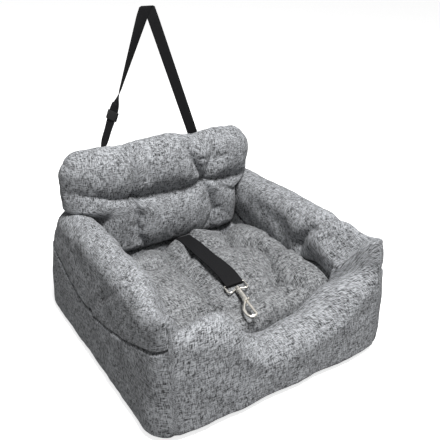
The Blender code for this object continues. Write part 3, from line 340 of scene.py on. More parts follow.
def ramp(tree, source, stops, smooth=False):
    made = node(tree, "ShaderNodeValToRGB", [("Fac", source)])
    made.color_ramp.interpolation = "EASE" if smooth else "LINEAR"
    while len(made.color_ramp.elements) < len(stops):
        made.color_ramp.elements.new(0.5)
    for element, (place, colour) in zip(made.color_ramp.elements, stops):
        element.position = place
        element.color = (*colour, 1.0) if hasattr(colour, "__len__") else (colour, colour, colour, 1.0)
    return made.outputs["Color"]


def chance(tree, vector, scale, detail):
    """Chance light and dark over a surface."""
    return node(
        tree, "ShaderNodeTexNoise", [("Vector", vector), ("Scale", scale), ("Detail", detail)]
    ).outputs["Fac"]


def bumped(tree, shader, height, strength, distance):
    bump = node(tree, "ShaderNodeBump", [("Height", height), ("Strength", strength), ("Distance", distance)])
    tree.links.new(bump.outputs[0], shader.inputs["Normal"])


def set_values(shader, **values):
    """Plain values, the same all over the surface."""
    for name, value in values.items():
        shader.inputs[name.replace("_", " ")].default_value = value


def cloth_map(tree):
    """The cloth map and its two directions."""
    cloth = node(tree, "ShaderNodeUVMap", uv_map="cloth").outputs["UV"]
    split = node(tree, "ShaderNodeSeparateXYZ", [(0, cloth)])
    return cloth, split.outputs[0], split.outputs[1]


def yarn_shade(tree, across, along, yarn, slub, seed):
    """How light each yarn is along its run: every yarn has its own chance stretches of light and dark."""
    number = maths(tree, "FLOOR", times(tree, across, 1 / yarn))
    place = node(
        tree,
        "ShaderNodeCombineXYZ",
        [
            (0, times(tree, number, 7.31)),
            (1, times(tree, along, 1 / slub)),
            (2, seed),
        ],
    )
    return chance(tree, place.outputs[0], 1.0, 1.0)


THICK_YARN = 2.0
THICK_SLUB = 1.5
THICK_SHARE = 0.17
FINE_SHARE = 0.33
YARN_MIDDLE = 0.53


def linen(name, light, dark, yarn=0.00085, slub=0.0085, contrast=0.085):
    """Heathered linen on the cloth map: light and dark yarns that cross, each uneven along its run."""
    made, tree, shader = nodes_of(name)
    cloth, u, v = cloth_map(tree)
    fine = maths(
        tree, "ADD", yarn_shade(tree, u, v, yarn, slub, 3.0), yarn_shade(tree, v, u, yarn, slub, 17.0)
    )
    thick = maths(
        tree,
        "ADD",
        yarn_shade(tree, u, v, yarn * THICK_YARN, slub * THICK_SLUB, 5.0),
        yarn_shade(tree, v, u, yarn * THICK_YARN, slub * THICK_SLUB, 23.0),
    )
    shade = maths(tree, "MULTIPLY_ADD", thick, THICK_SHARE, times(tree, fine, FINE_SHARE))
    shade = maths(tree, "MULTIPLY_ADD", chance(tree, cloth, 30.0, 2.0), 0.06, shade)
    colour = ramp(tree, shade, ((YARN_MIDDLE - contrast, dark), (YARN_MIDDLE + contrast, light)))
    tree.links.new(colour, shader.inputs["Base Color"])
    ridges = [maths(tree, "SINE", times(tree, a, math.pi / yarn)) for a in (u, v)]
    height = maths(
        tree, "MULTIPLY_ADD", times(tree, *ridges), 0.25, times(tree, shade, 2.0)
    )
    bumped(tree, shader, height, 0.5, 0.0007)
    set_values(shader, Roughness=0.93, Specular_IOR_Level=0.12, Sheen_Weight=0.06, Sheen_Roughness=0.5)
    return made


RIB_SPACING = 0.0017
YARN_SPACING = 0.0023


def webbing(name, colour, edge):
    """Woven polyester webbing: ribs across it and fine chance fluff."""
    made, tree, shader = nodes_of(name)
    cloth, u, v = cloth_map(tree)
    rib = maths(tree, "SINE", times(tree, v, math.tau / RIB_SPACING))
    line = maths(tree, "SINE", times(tree, u, math.tau / YARN_SPACING))
    fluff = chance(tree, cloth, 900.0, 2.0)
    height = maths(tree, "MULTIPLY_ADD", times(tree, rib, line), 0.5, fluff)
    colour = ramp(tree, fluff, ((0.3, colour), (0.75, edge)))
    tree.links.new(colour, shader.inputs["Base Color"])
    bumped(tree, shader, height, 0.5, 0.0005)
    set_values(shader, Roughness=0.78, Specular_IOR_Level=0.12)
    return made


def worn(name, colour, roughness, metallic=0.0, grain=400.0, depth=0.0001, spread=0.12, specular=0.5):
    """A hard finish whose gloss and surface vary a little, as on plated metal and moulded plastic."""
    made, tree, shader = nodes_of(name)
    place = node(tree, "ShaderNodeTexCoord").outputs["Object"]
    broad = chance(tree, place, grain / 5, 3.0)
    fine = chance(tree, place, grain * 4, 2.0)
    darker = tuple(c * 0.82 for c in colour)
    tree.links.new(ramp(tree, broad, ((0.35, darker), (0.65, colour))), shader.inputs["Base Color"])
    ends = [("To Min", roughness - spread / 2), ("To Max", roughness + spread / 2)]
    rough = node(tree, "ShaderNodeMapRange", [("Value", broad)] + ends)
    tree.links.new(rough.outputs[0], shader.inputs["Roughness"])
    bumped(tree, shader, fine, 0.4, depth)
    set_values(shader, Metallic=metallic, Specular_IOR_Level=specular)
    return made


LINEN = linen("heather_linen", (0.45, 0.463, 0.482), (0.030, 0.030, 0.031))
# Painted shade: the seat cushion's cover is the same heather linen, darkened to stand for the shade it lies
# in between the walls
SHADED_SEAT_LINEN = linen("seat_linen_painted_shade", (0.335, 0.343, 0.352), (0.024, 0.024, 0.0245))
WEBBING = webbing("black_webbing", (0.004, 0.004, 0.0045), (0.013, 0.013, 0.014))
NICKEL = worn("nickel_plate", (0.78, 0.75, 0.69), 0.24, metallic=1.0)
STEEL = worn("spring_steel", (0.55, 0.55, 0.54), 0.32, metallic=1.0)
PLASTIC = worn("black_plastic", (0.007, 0.007, 0.0075), 0.5, specular=0.25)
FOAM = worn("base_foam", (0.72, 0.70, 0.62), 0.9, grain=900.0, depth=0.0006)
TAPE = webbing("zip_tape", (0.035, 0.036, 0.038), (0.075, 0.077, 0.080))
RUBBER = worn("grip_rubber", (0.020, 0.020, 0.022), 0.6, specular=0.3)
GRIP = worn("grip_cloth", (0.045, 0.045, 0.05), 0.9, grain=1200.0, depth=0.0005)


# Walls and rolls
BOLSTER_CREST = (
    (-0.253, 0.246), (-0.240, 0.230), (-0.222, 0.212), (-0.195, 0.204), (-0.160, 0.197), (-0.125, 0.187),
    (-0.100, 0.168), (-0.078, 0.138), (-0.052, 0.116), (0.0, 0.103), (0.04, 0.108), (0.08, 0.112),
    (0.115, 0.124), (0.16, 0.154), (0.200, 0.180), (0.232, 0.220), (0.253, 0.254),
)
SEAM_LINE = (
    (-0.2425, 0.188), (-0.18, 0.163), (-0.11, 0.136), (-0.04, 0.117), (0.03, 0.109), (0.10, 0.114),
    (0.17, 0.133), (0.2425, 0.160),
)
ROLL_CREST = {
    -1: ((-0.2425, 0.246), (-0.215, 0.238), (-0.10, 0.239), (0.0, 0.241), (0.12, 0.242), (0.2425, 0.232)),
    1: ((-0.2425, 0.254), (-0.215, 0.249), (-0.10, 0.250), (0.0, 0.249), (0.12, 0.244), (0.2425, 0.238)),
}
LEFT_ROLL_CREASES = (
    # line over the cloth, width, depth at its start and end
    (
        ((-0.262, 0.020, 0.112), (-0.262, -0.009, 0.149), (-0.262, -0.045, 0.182), (-0.262, -0.090, 0.215)),
        0.006, 0.006, 0.003,
    ),
)
RIGHT_ROLL_CREASES = (
    (
        ((0.250, -0.120, 0.235), (0.225, -0.112, 0.252), (0.200, -0.104, 0.248), (0.186, -0.098, 0.234),
         (0.184, -0.075, 0.199), (0.184, -0.056, 0.165)),
        0.009, 0.005, 0.018,
    ),
)


def rail(share, reach, radius, end_turn, square_end=None):
    """Plan outline of a wall, share -1 to 1: how far along, and how far it has turned in at its corner."""
    level = reach - radius
    turn = np.clip((np.abs(share) - CORNER_SHARE) / (1 - CORNER_SHARE), 0, 1) * end_turn
    along = np.sign(share) * (level + radius * np.sin(turn))
    if square_end is None:
        plain = np.abs(share) <= CORNER_SHARE
        along = np.where(plain, share / CORNER_SHARE * level, along)
    else:
        plain = share <= CORNER_SHARE
        run = (share + 1) / (CORNER_SHARE + 1) * (level + square_end)
        along = np.where(plain, -square_end + run, along)
    return along, np.where(plain, 0.0, radius * (1 - np.cos(turn)))


def seam_turn(z):
    """How far past the middle of the corner a side reaches, as its seam with the front lies in front."""
    return between(SEAM_TURN, SEAM_TURN_LOW, smooth_step((WALL_TOP - z) / (WALL_TOP - SEAM_END)))


def wall_plan(share, depth, reach, corner, end_turn, square_end=None):
    outer_along, outer_in = rail(share, reach, corner, end_turn, square_end)
    inner_along, inner_in = rail(share, reach - WALL_THICKNESS, INNER_CORNER, end_turn, square_end)
    part = depth / WALL_THICKNESS
    return (
        between(outer_along, inner_along, part),
        between(outer_in, WALL_THICKNESS + inner_in, part),
    )


SIDE_LENGTH = HALF_DEPTH + FRONT_REACH
COVER_HALF = WALL_REACH + SIDE_LENGTH


def stand_out(z, spread):
    """How far the walls' outside stands out at a height: settled at the foot and swelling in the middle."""
    level = np.clip(z / WALL_TOP, 0, 1)
    return spread * (1 - level) ** SPREAD_POWER + WALL_BULGE * (1 - (2 * level - 1) ** 2)


def gathered(z, depth, far):
    """Height near a corner, where the cloth is gathered and the wall slopes down from its outer edge."""
    inside = smooth_step(depth / WALL_THICKNESS)
    above = smooth_step((z - GATHER_FOOT) / GATHER_RISE)
    return z - GATHER_DEPTH * hill(far / GATHER_REACH) * inside * above


def peaked(far):
    """How much a section is drawn up into the corner's peak at a distance from it."""
    return hill(far / PEAK_REACH)


def wall_depth(spot, half, z, spread, swell):
    """How far in from its outer side a wall's points lie; the inside swells by the given depth."""
    level = spot[:, 2] / half[:, 2]
    depth = WALL_THICKNESS / 2 + spot[:, 1]
    depth = depth - stand_out(z, spread) * (1 - depth / WALL_THICKNESS)
    return depth + swell * (1 - level**2) * np.clip(spot[:, 1] / half[:, 1], 0, 1)


def outer_corner(z):
    return between(OUTER_CORNER_TOP, OUTER_CORNER_FOOT, 1 - z / WALL_TOP)


def columns(count, *values):
    return np.stack([np.broadcast_to(v, count) for v in values], 1)


def wall_cover_point(unit):
    """The lower side walls and the front bolster in one, from the left rear to the right rear end."""
    run = unit[:, 0] * COVER_HALF
    over = np.abs(run) - WALL_REACH
    front = smooth_step(0.5 - over / COVER_MERGE)
    side_share = np.clip(1 - 2 * over / SIDE_LENGTH, -1, 1)
    seam = through(SEAM_LINE, -side_share * HALF_DEPTH)
    high = seam * (1 - front) + through(BOLSTER_CREST, run) * front
    count = len(unit)
    half = columns(count, COVER_HALF, WALL_THICKNESS / 2, (high - WALL_FOOT) / 2)
    peak = peaked(over) * front
    top = between(SEAM_RADIUS, between(CREST_RADIUS, PEAK_RADIUS, peak), front)
    edge = between(SEAM_REACH, CREST_RADIUS, front)
    edge = edge - (edge - PEAK_RADIUS) * peak * smooth_step(unit[:, 2])
    low = columns(count, COVER_END_RADIUS, edge, FOOT_RADIUS)
    spot = rounded(unit, half, low, columns(count, COVER_END_RADIUS, CREST_RADIUS, top))
    z = (high + WALL_FOOT) / 2 + spot[:, 2]
    spread = between(SIDE_SPREAD, FRONT_SPREAD, smooth_step(-over / FRONT_MERGE))
    depth = wall_depth(spot, half, z, spread, BOLSTER_SWELL * front)
    z = gathered(z, depth, over)
    radius = outer_corner(z)
    run = spot[:, 0]
    over = np.abs(run) - WALL_REACH
    turn = seam_turn(z)
    along, inward = wall_plan(run / WALL_REACH, depth, WALL_REACH, radius, math.pi / 4 - turn)
    side_share = 1 - 2 * over / SIDE_LENGTH
    side_along, side_in = wall_plan(side_share, depth, FRONT_REACH, radius, math.pi / 4 + turn, HALF_DEPTH)
    x = np.where(over <= 0, along, np.sign(run) * (WALL_REACH - side_in))
    y = np.where(over <= 0, inward - FRONT_REACH, -side_along)
    return np.stack([x, y, z], 1)


def roll_point(unit, side):
    """A roll on a side wall, from its rear end, -1, to its gathered end at the front corner, 1."""
    y = -unit[:, 0] * HALF_DEPTH
    seam = through(SEAM_LINE, y)
    count = len(unit)
    high = through(ROLL_CREST[side], y)
    half = columns(count, HALF_DEPTH, WALL_THICKNESS / 2, (high - seam) / 2)
    peak = peaked(HALF_DEPTH - unit[:, 0] * HALF_DEPTH)
    edge = between(SEAM_REACH, CREST_RADIUS, smooth_step(unit[:, 2] + 0.5))
    edge = between(edge, PEAK_RADIUS, peak)
    top = between(CREST_RADIUS, PEAK_RADIUS, peak)
    low = columns(count, CREST_RADIUS, edge, SEAM_RADIUS)
    spot = rounded(unit, half, low, columns(count, ROLL_END_RADIUS, CREST_RADIUS, top))
    z = (high + seam) / 2 + spot[:, 2]
    near = hill((y + FRONT_REACH) / CORNER_NEAR)
    depth = wall_depth(spot, half, z, SIDE_SPREAD, ROLL_SWELL * (1 - near))
    z = gathered(z, depth, HALF_DEPTH - spot[:, 0])
    turn = math.pi / 4 + seam_turn(z)
    share = spot[:, 0] / HALF_DEPTH
    along, inward = wall_plan(share, depth, FRONT_REACH, outer_corner(z), turn, HALF_DEPTH)
    return np.stack([side * (WALL_REACH - inward), -along, z], 1)


BROAD_LUMP = 0.085
FINE_LUMP = 0.03
FINE_LUMP_SHARE = 0.35


def stuffed_piece(name, cells, place, length, creases=(), lump=0.0012, seed=1, finish=None):
    lattice, quads, sides = block_faces(cells)
    unit = lattice / np.array(cells) * 2 - 1
    points = place(unit)
    uv = cloth_places(lattice, quads, sides, points, cells, length)
    quads, uv = outward(points, quads, uv)
    normals = surface_normals(points, quads)
    broad = lump * lumps(points, BROAD_LUMP, seed)
    rise = broad + lump * FINE_LUMP_SHARE * lumps(points, FINE_LUMP, seed + 1)
    points = points + normals * rise[:, None]
    points = creased(points, quads, creases)
    return new_piece(name, points, quads, uv, finish)


def plump(piece, held, pressure=4.0, slack=0.025, frames=20, cap=0.008):
    """Cloth pumped up over the filling and held where it is sewn, so it swells and wrinkles between."""
    rest = places_of(piece)
    group = piece.vertex_groups.new(name="held")
    for i in np.nonzero(held > 0.01)[0]:
        group.add([int(i)], float(held[i]), "REPLACE")
    cloth = piece.modifiers.new("cloth", "CLOTH")
    settings = cloth.settings
    settings.quality = 5
    settings.mass = 0.25
    settings.tension_stiffness = 12
    settings.compression_stiffness = 12
    settings.shear_stiffness = 4
    settings.bending_stiffness = 0.15
    settings.air_damping = 4
    settings.use_pressure = True
    settings.uniform_pressure_force = pressure
    settings.shrink_min = -slack
    settings.vertex_group_mass = "held"
    settings.pin_stiffness = 2.0
    settings.effector_weights.gravity = 0
    cloth.point_cache.frame_start = 1
    cloth.point_cache.frame_end = frames
    scene = bpy.context.scene
    for step in range(1, frames + 1):
        scene.frame_set(step)
    places = places_of(evaluated(piece))
    piece.modifiers.remove(cloth)
    scene.frame_set(1)
    shift = places - rest
    far = np.linalg.norm(shift, axis=1, keepdims=True)
    shift *= cap * np.tanh(far / cap) / np.maximum(far, 1e-9)
    move_points(piece, rest + shift)
    piece.vertex_groups.clear()


def refined(piece):
    """One smooth subdivision, applied."""
    finer = piece.modifiers.new("finer", "SUBSURF")
    finer.levels = 1
    finer.render_levels = 1
    finer.uv_smooth = "NONE"
    mesh = bpy.data.meshes.new_from_object(evaluated(piece))
    piece.modifiers.remove(finer)
    old = piece.data
    mesh.name = old.name
    piece.data = mesh
    bpy.data.meshes.remove(old)


wall_cover = stuffed_piece(
    "wall_cover", (440, 22, 46), wall_cover_point, 2 * COVER_HALF, lump=0.0009, seed=4, finish=LINEN
)
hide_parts("front_bolster", "left_side_wall", "right_side_wall")


def roll_cover(name, side, creases, seed):
    return stuffed_piece(
        name, (170, 26, 38), lambda p: roll_point(p, side), 2 * HALF_DEPTH, creases, seed=seed, finish=LINEN
    )


left_roll = roll_cover("left_roll_cover", -1, LEFT_ROLL_CREASES, 7)
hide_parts("left_roll")
right_roll = roll_cover("right_roll_cover", 1, RIGHT_ROLL_CREASES, 9)
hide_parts("right_roll")


def rear_wall_point(unit):
    low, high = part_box("rear_wall")
    half = np.array((high - low) / 2)
    return rounded(unit, half, np.full(3, 0.014), np.full(3, 0.014)) + np.array((high + low) / 2)


rear_wall = stuffed_piece(
    "rear_wall_cover", (100, 18, 30), rear_wall_point, 0.37, lump=0.0008, seed=12, finish=LINEN
)
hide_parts("rear_wall")


# Tether, as it lies over the seat cushion
WEBBING_THICKNESS = 0.0016
TETHER_WIDTH = 0.038
TETHER_ROOT = (0.016, 0.1421, 0.1320)
TETHER_FOLD = 0.034
TETHER_MERGE = 0.016
TETHER_BEND = 0.0275
TETHER_REAR = 0.0293
TURN_START = 0.55
TURN_RUN = 0.45
FOLD_GAP = 0.0004
EYE_DEPTH = 0.019
EYE_WIRE = 0.0036
EYE_TURN = EYE_WIRE / 2 + 0.0003 + WEBBING_THICKNESS / 2
SNAP_HALF_WIDTH = 0.012
SNAP_TURN = Matrix.Rotation(math.radians(-99), 4, "Z") @ Matrix.Rotation(math.radians(3), 4, "Y")
SNAP_ROLL = Matrix.Rotation(math.radians(8), 4, "X")
SNAP_FRAME = Matrix.Translation((-0.001, -0.0945, 0.136243)) @ SNAP_TURN @ SNAP_ROLL


def at_snap(x, y, z):
    """A place in the snap's own frame, which lies along the snap with its eye behind."""
    return SNAP_FRAME @ Vector((x, y, z))


TETHER_END = at_snap(-EYE_DEPTH - TETHER_FOLD, 0, EYE_TURN)
TETHER_HEIGHTS = (
    (0.0, TETHER_ROOT[2]),
    (0.25, 0.1372),
    (0.55, 0.1388),
    (0.8, TETHER_END.z + 0.0006),
    (1.0, TETHER_END.z),
)


def tether_place(share):
    """Middle of the tether's webbing between its root and its sewn end."""
    x, y = (a + (b - a) * share for a, b in zip(TETHER_ROOT[:2], TETHER_END[:2]))
    return np.stack([x, y, through(TETHER_HEIGHTS, share)], -1)


def run_length(points):
    return np.concatenate([[0.0], np.cumsum(np.linalg.norm(np.diff(points, axis=0), axis=1))])


TETHER_LINE = [tuple(p) for p in tether_place(np.linspace(0, 1, 12))]
TETHER_LINE = [(0.016, 0.175, 0.126)] + TETHER_LINE + [tuple(at_snap(-EYE_DEPTH, 0, -EYE_TURN))]
SNAP_LINE = [tuple(at_snap(x, y, -0.006)) for x, y in ((0, 0), (0.035, 0), (0.075, -0.006))]

# Seat cushion
SEAT_TUFTS = ((-0.050, 0.070), (-0.067, -0.117), (0.100, 0.072), (0.098, -0.100))
REAR_LEFT, FRONT_LEFT, REAR_RIGHT, FRONT_RIGHT = SEAT_TUFTS
SEAT_CREASES = (
    # line over the cushion, width, depth at its start and end
    ((REAR_LEFT, (-0.040, 0.115), (-0.030, 0.165)), 0.015, 0.027, 0.019),
    ((REAR_LEFT, (-0.046, 0.041), (-0.040, 0.013), (-0.046, -0.024)), 0.017, 0.029, 0.027),
    (((-0.046, -0.024), (-0.057, -0.067), FRONT_LEFT), 0.017, 0.027, 0.029),
    ((FRONT_LEFT, (-0.061, -0.165)), 0.015, 0.030, 0.022),
    ((REAR_LEFT, (-0.075, 0.074), (-0.115, 0.070), (-0.180, 0.060)), 0.015, 0.030, 0.016),
    ((FRONT_LEFT, (-0.110, -0.125), (-0.180, -0.120)), 0.013, 0.021, 0.011),
    ((FRONT_LEFT, (-0.010, -0.128), (0.050, -0.112), FRONT_RIGHT), 0.013, 0.018, 0.019),
    ((FRONT_RIGHT, (0.114, -0.115), (0.130, -0.141), (0.150, -0.170)), 0.011, 0.029, 0.014),
    ((FRONT_RIGHT, (0.140, -0.095), (0.185, -0.085)), 0.010, 0.011, 0.003),
    ((FRONT_RIGHT, (0.085, -0.150)), 0.010, 0.016, 0.008),
    (
        (REAR_RIGHT, (0.117, 0.054), (0.136, 0.034), (0.142, 0.006), (0.127, -0.038), FRONT_RIGHT),
        0.014, 0.027, 0.029,
    ),
    ((REAR_RIGHT, (0.106, 0.100), (0.126, 0.135), (0.140, 0.165)), 0.011, 0.029, 0.016),
    ((REAR_LEFT, (0.020, 0.085), REAR_RIGHT), 0.014, 0.013, 0.016),
)
SEAT_LOW, SEAT_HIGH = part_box("seat_cushion_cover")
SEAT_EDGE_TOP = 0.109
SEAT_ACROSS = (
    # across the seat, height of its puffs
    (-0.189, 0.146), (-0.160, 0.154), (-0.120, 0.148), (-0.085, 0.142), (-0.062, 0.138), (-0.040, 0.130),
    (-0.022, 0.125), (-0.004, 0.128), (0.012, 0.132), (0.030, 0.134), (0.070, 0.138), (0.105, 0.141),
    (0.140, 0.150), (0.165, 0.152), (0.189, 0.146),
)
SEAT_ALONG = (
    # along the seat, share of that height
    (-0.1715, 0.20), (-0.150, 0.66), (-0.125, 0.85), (-0.070, 0.98), (-0.010, 1.0),
    (0.060, 0.90), (0.110, 0.72), (0.1635, 0.20),
)
SEAT_PRESS = 0.004
SEAT_FOOT_RADII = (0.012, 0.012, 0.014)
SEAT_TOP_RADII = (0.012, 0.012, 0.022)
PRESSED_SLOPE = 1.1
TUFT_WIDTH = 0.014
FAN_DEPTH = 0.0014
FAN_REACH = 0.022
FAN_START = 0.012
REAR_PUFF = 0.022
LEFT_DIP = 0.016


def relief(flat, creases, tufts, tuft_depth):
    """How far the sewn creases and tufts draw a cushion's cloth in, at places on its flat face."""
    deep = np.zeros(len(flat))
    for far, depth, width in near_creases(flat, creases):
        deep = np.maximum(deep, depth * np.exp(-softened(far, width * 0.14) / width))
    for i, tuft in enumerate(tufts):
        off = flat - np.array(tuft)
        far = np.linalg.norm(off, axis=1)
        turn = np.arctan2(off[:, 1], off[:, 0])
        deep += tuft_depth * hill(far / TUFT_WIDTH)
        fan = np.sin(9 * turn + i * 1.7) + 0.6 * np.sin(5 * turn + i * 0.9)
        deep += FAN_DEPTH * fan * np.exp(-far / FAN_REACH) * smooth_step(far / FAN_START)
    return deep


def seat_height(x, y):
    """Height of the seat cushion's puffs before they are sewn down."""
    high = (through(SEAT_ACROSS, x) - SEAT_EDGE_TOP) * through(SEAT_ALONG, y)
    high += REAR_PUFF * hill((x - 0.03) / 0.06) * smooth_step((y - 0.04) / 0.10)
    high -= LEFT_DIP * smooth_step((-x - 0.07) / 0.06) * smooth_step((y - 0.10) / 0.06)
    return high


def seat_point(unit):
    half = np.array((SEAT_HIGH - SEAT_LOW) / 2)
    middle = np.array((SEAT_HIGH + SEAT_LOW) / 2)
    half[0] += SEAT_PRESS
    half[1] += SEAT_PRESS / 2
    middle[1] -= SEAT_PRESS / 2
    half[2] = (SEAT_EDGE_TOP - SEAT_LOW.z) / 2
    middle[2] = SEAT_LOW.z + half[2]
    spot = rounded(unit, half, SEAT_FOOT_RADII, SEAT_TOP_RADII)
    over = smooth_step((spot[:, 2] / half[2] - 0.1) / 0.9)
    flat = spot[:, :2] + middle[:2]
    across, along = (spot[:, :2] / half[:2]).T
    rim = np.clip((1 - across**16) * (1 - along**16) * 3, 0, 1)
    deep = relief(flat, SEAT_CREASES, SEAT_TUFTS, 0.010)
    spot[:, 2] += (seat_height(*flat.T) - deep * rim) * over
    return spot + middle


def pressed(piece, line, half_width, room=0.0008):
    """Lets a cushion sink under what lies on it, along a line of places, and rise again beside it."""
    places = places_of(piece)
    over = places[:, 2] > SEAT_EDGE_TOP - 0.02
    far, along = line_distance(places[:, :2], [p[:2] for p in line])
    marks = run_length(np.array(line)[:, :2])
    height = np.interp(along, marks / marks[-1], [p[2] for p in line])
    limit = height - room + PRESSED_SLOPE * np.clip(far - half_width, 0, None)
    places[over, 2] = np.minimum(places[over, 2], limit[over])
    move_points(piece, places)


ZIP_MARGIN = 0.0145
ZIP_RISE = 0.004
ZIP_ROOM = 0.0006
ZIP_DEPTH = 0.030


def flattened(piece, low, high):
    """Lets a cushion's rear lie flat under its zip and rise again beside it."""
    places = places_of(piece)
    beside = np.maximum(np.abs(places[:, 0] - (low.x + high.x) / 2) - (high.x - low.x) / 2, 0)
    above = np.maximum(np.abs(places[:, 2] - (low.z + high.z) / 2) - (high.z - low.z) / 2, 0)
    rise = ZIP_RISE * smooth_step(np.hypot(beside, above) / ZIP_MARGIN)
    limit = (low.y + high.y) / 2 - ZIP_ROOM + rise
    rear = places[:, 1] > (low.y - ZIP_DEPTH)
    places[rear, 1] = np.minimum(places[rear, 1], limit[rear])
    move_points(piece, places)


HELD_DEPTH = 0.024
HELD_LINE = 0.0035
HELD_TUFT = 0.006


def sewn(piece, axes, creases, tufts, floor):
    """How firmly each point is held: at tufts, along creases and where it lies on its neighbours."""
    places = places_of(piece)
    flat = places[:, list(axes)]
    hold = np.zeros(len(places))
    for far, deep, _ in near_creases(flat, creases):
        hold = np.maximum(hold, np.clip(deep / HELD_DEPTH, 0, 1) * hill(far / HELD_LINE))
    for tuft in tufts:
        far = np.linalg.norm(flat - np.array(tuft), axis=1)
        hold = np.maximum(hold, np.exp(-((far / HELD_TUFT) ** 4)))
    return np.where(floor(places), 1.0, hold)


# The seat cushion's cloth carries painted shade: a darker copy of the walls' linen
seat_cover = stuffed_piece(
    "seat_cushion", (104, 92, 12), seat_point, 0.378, lump=0.0016, seed=21, finish=SHADED_SEAT_LINEN
)
plump(seat_cover, sewn(seat_cover, (0, 1), SEAT_CREASES, SEAT_TUFTS, lambda p: p[:, 2] < 0.086))
refined(seat_cover)
flattened(seat_cover, *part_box("seat_cushion_zip"))
pressed(seat_cover, TETHER_LINE, TETHER_WIDTH / 2)
pressed(seat_cover, SNAP_LINE, SNAP_HALF_WIDTH)
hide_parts("seat_cushion_cover", "seat_cushion_filling")

# Backrest
BACK_TUFTS = ((-0.098, 0.250), (0.080, 0.254))
LEFT_TUFT, RIGHT_TUFT = BACK_TUFTS
BACK_CREASES = (
    (
        (LEFT_TUFT, (-0.060, 0.248), (-0.018, 0.246), (0.030, 0.247), RIGHT_TUFT),
        0.014, 0.022, 0.022,
    ),
    ((RIGHT_TUFT, (0.125, 0.253), (0.183, 0.246), (0.215, 0.243)), 0.012, 0.020, 0.016),
    ((LEFT_TUFT, (-0.147, 0.258), (-0.191, 0.274), (-0.235, 0.290)), 0.012, 0.018, 0.006),
    ((LEFT_TUFT, (-0.096, 0.297), (-0.096, 0.334), (-0.104, 0.368)), 0.010, 0.020, 0.010),
    (((-0.087, 0.364), (-0.088, 0.325), (-0.092, 0.290)), 0.006, 0.007, 0.002),
    (((-0.072, 0.352), (-0.068, 0.330), (-0.070, 0.300), (-0.080, 0.275)), 0.007, 0.006, 0.004),
    ((RIGHT_TUFT, (0.050, 0.307), (0.030, 0.357)), 0.010, 0.024, 0.012),
    ((RIGHT_TUFT, (0.101, 0.313), (0.103, 0.355), (0.095, 0.368)), 0.010, 0.022, 0.014),
    ((LEFT_TUFT, (-0.095, 0.209), (-0.090, 0.158), (-0.068, 0.123)), 0.012, 0.020, 0.012),
    ((LEFT_TUFT, (-0.115, 0.200), (-0.125, 0.150)), 0.008, 0.008, 0.003),
    ((RIGHT_TUFT, (0.097, 0.210), (0.106, 0.176), (0.098, 0.150), (0.102, 0.122)), 0.011, 0.022, 0.012),
    ((RIGHT_TUFT, (0.121, 0.239), (0.168, 0.209)), 0.008, 0.012, 0.004),
)
BACK_TOP_LINE = (
    (-0.245, 0.352), (-0.225, 0.358), (-0.199, 0.362), (-0.138, 0.360), (-0.100, 0.358), (-0.047, 0.366),
    (0.008, 0.367), (0.045, 0.360), (0.060, 0.357), (0.090, 0.358),
    (0.126, 0.363), (0.181, 0.358), (0.217, 0.350),
)
BACK_FOOT = 0.1103
BACK_REAR = 0.2365
BACK_THICKNESS = 0.068
BACK_EARS = (0.243, 0.214)
BACK_BETWEEN_ROLLS = 0.184
EAR_FOOT = 0.214
EAR_RISE = 0.034
BACK_TOP_RADII = (0.040, 0.033, 0.040)
BACK_FOOT_RADII = (0.040, 0.031, 0.026)
BACK_SWELL = 0.016


def back_point(unit):
    """The backrest: its foot stands between the rolls, and its top spreads over them as two ears."""
    ear = np.where(unit[:, 0] < 0, *BACK_EARS)
    top = through(BACK_TOP_LINE, unit[:, 0] * ear)
    half = columns(len(unit), ear, BACK_THICKNESS / 2, (top - BACK_FOOT) / 2)
    spot = rounded(unit, half, BACK_FOOT_RADII, BACK_TOP_RADII)
    z = BACK_FOOT + half[:, 2] + spot[:, 2]
    reach = between(BACK_BETWEEN_ROLLS, ear, smooth_step((z - EAR_FOOT) / EAR_RISE))
    share_x = spot[:, 0] / ear
    share_z = spot[:, 2] / half[:, 2]
    x = share_x * reach
    front = np.maximum(-spot[:, 1] / half[:, 1], 0)
    inside = np.clip((1 - share_x**6) * (1 - share_z**6) * 1.6, 0, 1)
    deep = relief(np.stack([x, z], 1), BACK_CREASES, BACK_TUFTS, 0.014)
    out = (BACK_SWELL * (1 - share_x**4) * (1 - share_z**4) - deep * inside) * front**2
    y = BACK_REAR - BACK_THICKNESS / 2 + spot[:, 1] - out
    return np.stack([x, y, z], 1)


back_cover = stuffed_piece(
    "backrest_cushion", (124, 14, 74), back_point, 0.47, lump=0.0014, seed=31, finish=LINEN
)
plump(
    back_cover,
    sewn(back_cover, (0, 2), BACK_CREASES, BACK_TUFTS, lambda p: (p[:, 1] > 0.215) | (p[:, 2] < 0.125)),
)
refined(back_cover)
flattened(back_cover, *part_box("backrest_zip"))
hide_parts("backrest_cover", "backrest_filling")


# Headrest strap, its tail and its keeper
STRAP_WIDTH = 0.025
STRAP_PLANE = 0.2376
STRAP_CENTRE = -0.0215
STRAP_SPREAD = 0.110
STRAP_LEAN = 0.37757
STRAP_LEAVES = 0.350
STRAP_FOOT = 0.285
STRAP_TOP = 0.630
STRAP_FOLD_RADIUS = 0.0012
STRAP_FOLD_START = 0.030
STRAP_FOLD_EASE = 0.028
TUCK_REACH = 0.024
TUCK_EASE = 0.018
REAR_SIDE = 0.19
TAIL_SPACE = 0.0038
TAIL_FOOT = 0.2806
TAIL_TOP = 0.440
KEEPER_PLACE = 0.415
KEEPER_LENGTH = 0.0190
KEEPER_WALL = 0.0020
KEEPER_HALF = (0.0150, 0.0042)
SELVEDGE_SHARES = (
    (-1, 0.3), (-0.965, 0.8), (-0.9, 1), (-0.45, 1), (0, 1), (0.45, 1), (0.9, 1), (0.965, 0.8), (1, 0.3)
)
